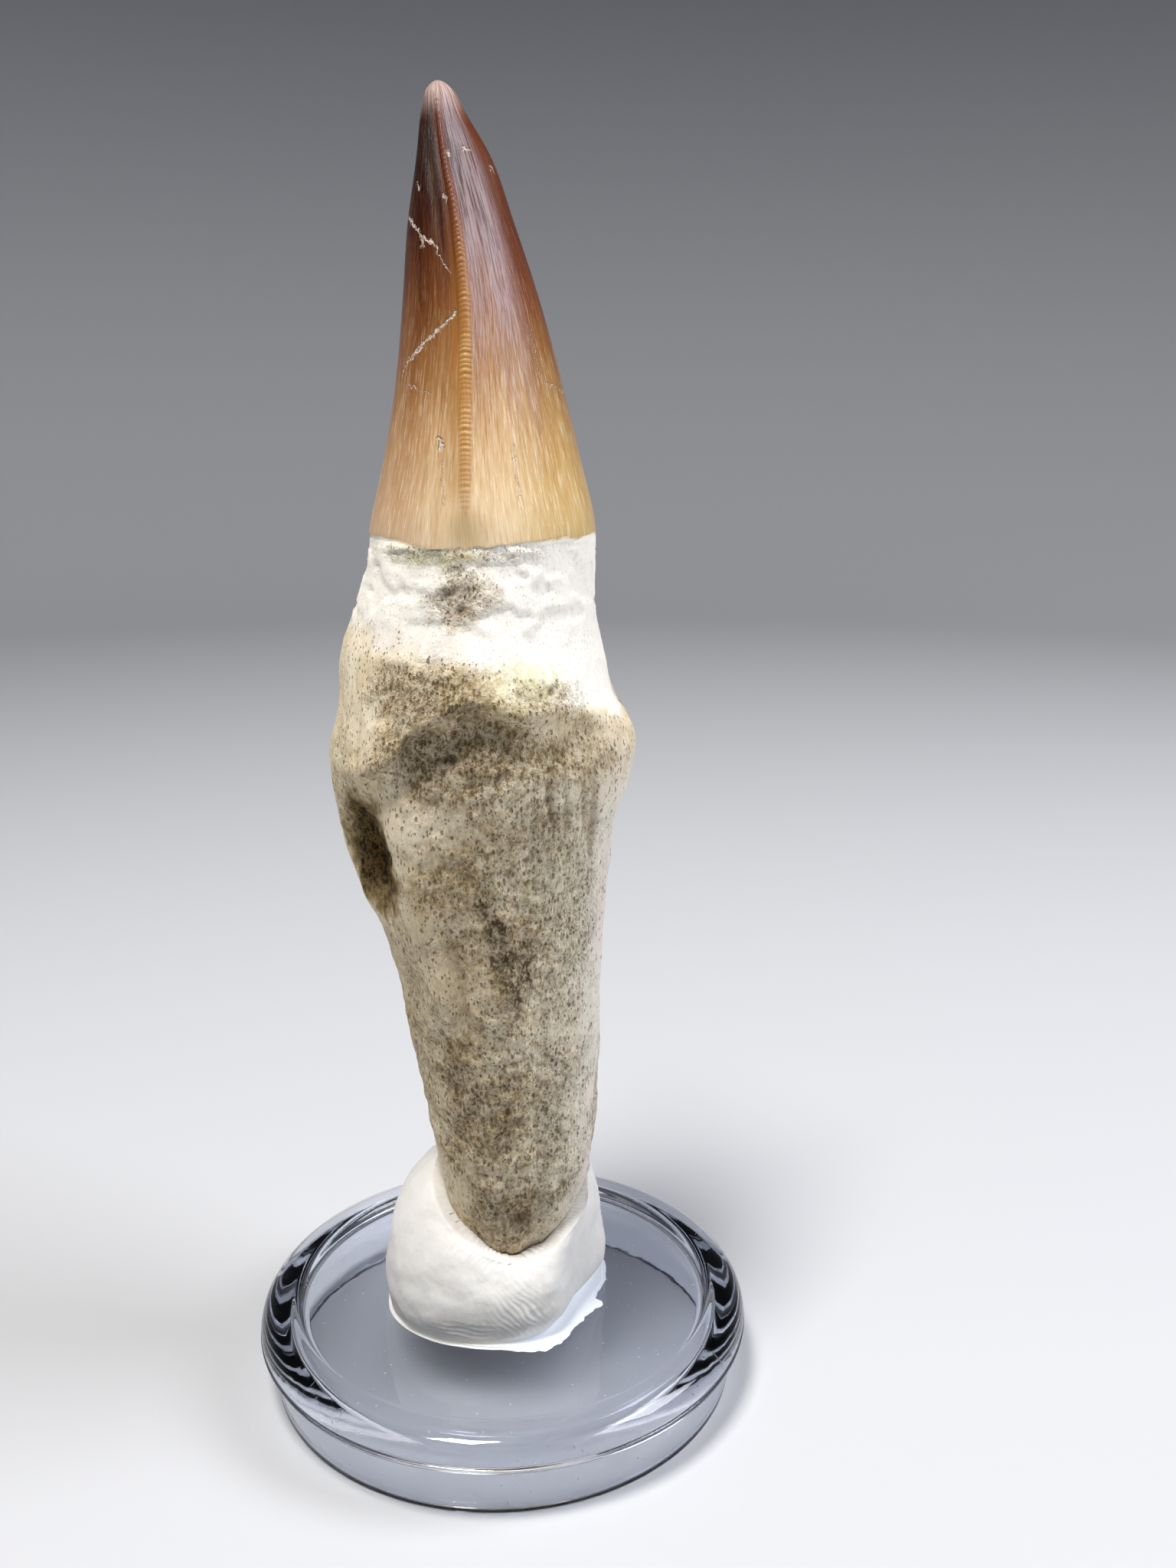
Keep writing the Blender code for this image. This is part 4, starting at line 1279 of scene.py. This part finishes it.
    # The pit is browned with earth and darkened toward its middle as painted shade of the hollow.
    brown = mix_colours(tree, grit, *PIT_BROWN)
    colour = mix_colours(tree, ramp_between(tree, pit, 0.0, 0.6, 0.0, 0.85), colour, brown)
    crumbs = calculate(tree, "MAXIMUM", ramp_between(tree, grit, 0.56, 0.4), holes)
    shade = mix_colours(tree, calculate(tree, "MAXIMUM", crumbs, pricks), *PIT_SHADE)
    colour = mix_colours(tree, ramp_between(tree, pit, 0.4, 0.95, 0.0, 0.95), colour, shade)

    line = times(tree, grit, scaled(tree, bone, 1.5, 0.15))
    line = scaled(tree, grain, scaled(tree, bone, 0.22, 0.06), line)
    line = scaled(tree, fibre, scaled(tree, pit, -0.2, 0.25), line)
    return colour, scaled(tree, grain, 0.2, 0.72), scaled(tree, specks, -0.7, line)


def fossil_tooth():
    """One material for the whole grown piece: glossy enamel above its border, chalky root below."""
    material, tree, shader, place = new_material("fossil_tooth")
    flow = shader_node(tree, "Attribute", attribute_name="flow").outputs["Vector"]
    enamel = mask_of(tree, "enamel")
    crown_colour, crown_rough, crown_line = enamel_finish(tree, place, flow)
    root_colour, root_rough, root_line = root_finish(tree, place, flow)
    tree.links.new(mix_colours(tree, enamel, root_colour, crown_colour), shader.inputs["Base Color"])
    tree.links.new(mix_numbers(tree, enamel, root_rough, crown_rough), shader.inputs["Roughness"])
    tree.links.new(times(tree, enamel, ENAMEL_COAT), shader.inputs["Coat Weight"])
    shader.inputs["Coat Roughness"].default_value = 0.12
    shader.inputs["Specular IOR Level"].default_value = 0.17
    shader.inputs["Subsurface Weight"].default_value = 0.02
    shader.inputs["Subsurface Radius"].default_value = (1.0, 0.6, 0.35)
    shader.inputs["Subsurface Scale"].default_value = 0.6 * MM
    bump(tree, shader, mix_numbers(tree, enamel, root_line, crown_line), FINISH_DEPTH)
    return material


hairline = hairline_group()
tooth = make_tooth()
tooth.data.materials.append(fossil_tooth())
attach(tooth, "root")
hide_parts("tooth")

# The studio
# A plain pale floor that turns up into a round wall. The main soft light hangs high in front, a
# wide cooler one stands on the right and a faint warm one on the left. The camera has the
# photo's height and slant.

FLOOR_RADIUS = 450.0
COVE_RADIUS = 250.0
WALL_HEIGHT = 1000.0
COVE_STEPS = 16
CAMERA_PLACE = (7.0, -106.0, 77.0)
CAMERA_DOWN = 14.5
CAMERA_LENS = 33.0
CAMERA_SENSOR = 36.0
NEAREST_SEEN = 5.0
FURTHEST_SEEN = 10000.0
FLOOR_COLUMNS = 96
SHADED_WALL = 420.0
PAPER = (tone(198, 199, 202), tone(104, 107, 114))
AIR_TINT = (0.97, 0.98, 1.0, 1.0)
AIR_STRENGTH = 0.2
# The lights, as name, place, target, size, power and colour.
SOFTBOXES = (
    ("overhead_softbox", (-80.0, -110.0, 430.0), (0.0, 0.0, 60.0), 110.0, 2.0, (1.0, 0.98, 0.95)),
    ("right_softbox", (340.0, -30.0, 340.0), (0.0, 0.0, 70.0), 230.0, 1.7, (0.92, 0.94, 1.0)),
    ("left_softbox", (-330.0, -160.0, 280.0), (0.0, 0.0, 60.0), 240.0, 0.1, (1.0, 0.95, 0.88)),
)


def make_floor():
    bend = np.linspace(0.0, math.pi / 2, COVE_STEPS)
    cove = FLOOR_RADIUS + COVE_RADIUS * np.sin(bend)
    radii = np.concatenate(([60.0, 200.0], cove, [FLOOR_RADIUS + COVE_RADIUS]))
    heights = np.concatenate(([0.0, 0.0], COVE_RADIUS * (1 - np.cos(bend)), [WALL_HEIGHT]))
    angles = np.linspace(0.0, 2 * math.pi, FLOOR_COLUMNS, endpoint=False)
    rows = [[(r * math.cos(a), r * math.sin(a), h) for a in angles] for r, h in zip(radii, heights)]
    points = [(0.0, 0.0, 0.0)] + [point for row in rows for point in row]
    turned = [(i, (i + 1) % FLOOR_COLUMNS) for i in range(FLOOR_COLUMNS)]
    faces = [(0, 1 + j, 1 + i) for i, j in turned]
    for k in range(len(rows) - 1):
        low, up = 1 + k * FLOOR_COLUMNS, 1 + (k + 1) * FLOOR_COLUMNS
        faces.extend((low + i, low + j, up + j, up + i) for i, j in turned)
    mesh = bpy.data.meshes.new("studio_floor")
    mesh.from_pydata((np.array(points) * MM).tolist(), [], faces)
    mesh.flip_normals()
    mesh.shade_smooth()
    floor = bpy.data.objects.new("studio_floor", mesh)
    bpy.context.scene.collection.objects.link(floor)
    material, tree, shader, place = new_material("pale_paper")
    shaded = ramp_between(tree, along_axis(tree, place, "Z"), 0.0, SHADED_WALL)
    tree.links.new(mix_colours(tree, shaded, *PAPER), shader.inputs["Base Color"])
    shader.inputs["Roughness"].default_value = 0.9
    mesh.materials.append(material)
    return floor


def softbox(name, place, target, size, power, colour):
    data = bpy.data.lights.new(name, "AREA")
    data.shape = "SQUARE"
    data.size = size * MM
    data.energy = power
    data.color = colour
    light = bpy.data.objects.new(name, data)
    light.location = Vector(place) * MM
    light.rotation_euler = (Vector(target) - Vector(place)).to_track_quat("-Z", "Y").to_euler()
    bpy.context.scene.collection.objects.link(light)


def make_camera():
    data = bpy.data.cameras.new("camera")
    data.lens = CAMERA_LENS
    data.sensor_width = CAMERA_SENSOR
    data.clip_start = NEAREST_SEEN * MM
    data.clip_end = FURTHEST_SEEN * MM
    camera = bpy.data.objects.new("camera", data)
    camera.location = Vector(CAMERA_PLACE) * MM
    camera.rotation_euler = (math.radians(90.0 - CAMERA_DOWN), 0.0, 0.0)
    bpy.context.scene.collection.objects.link(camera)
    bpy.context.scene.camera = camera


make_floor()
for light in SOFTBOXES:
    softbox(*light)
world = bpy.data.worlds.new("studio_air")
world.use_nodes = True
air = world.node_tree.nodes["Background"].inputs
air["Color"].default_value = AIR_TINT
air["Strength"].default_value = AIR_STRENGTH
bpy.context.scene.world = world
bpy.context.scene.view_settings.view_transform = "Standard"
make_camera()
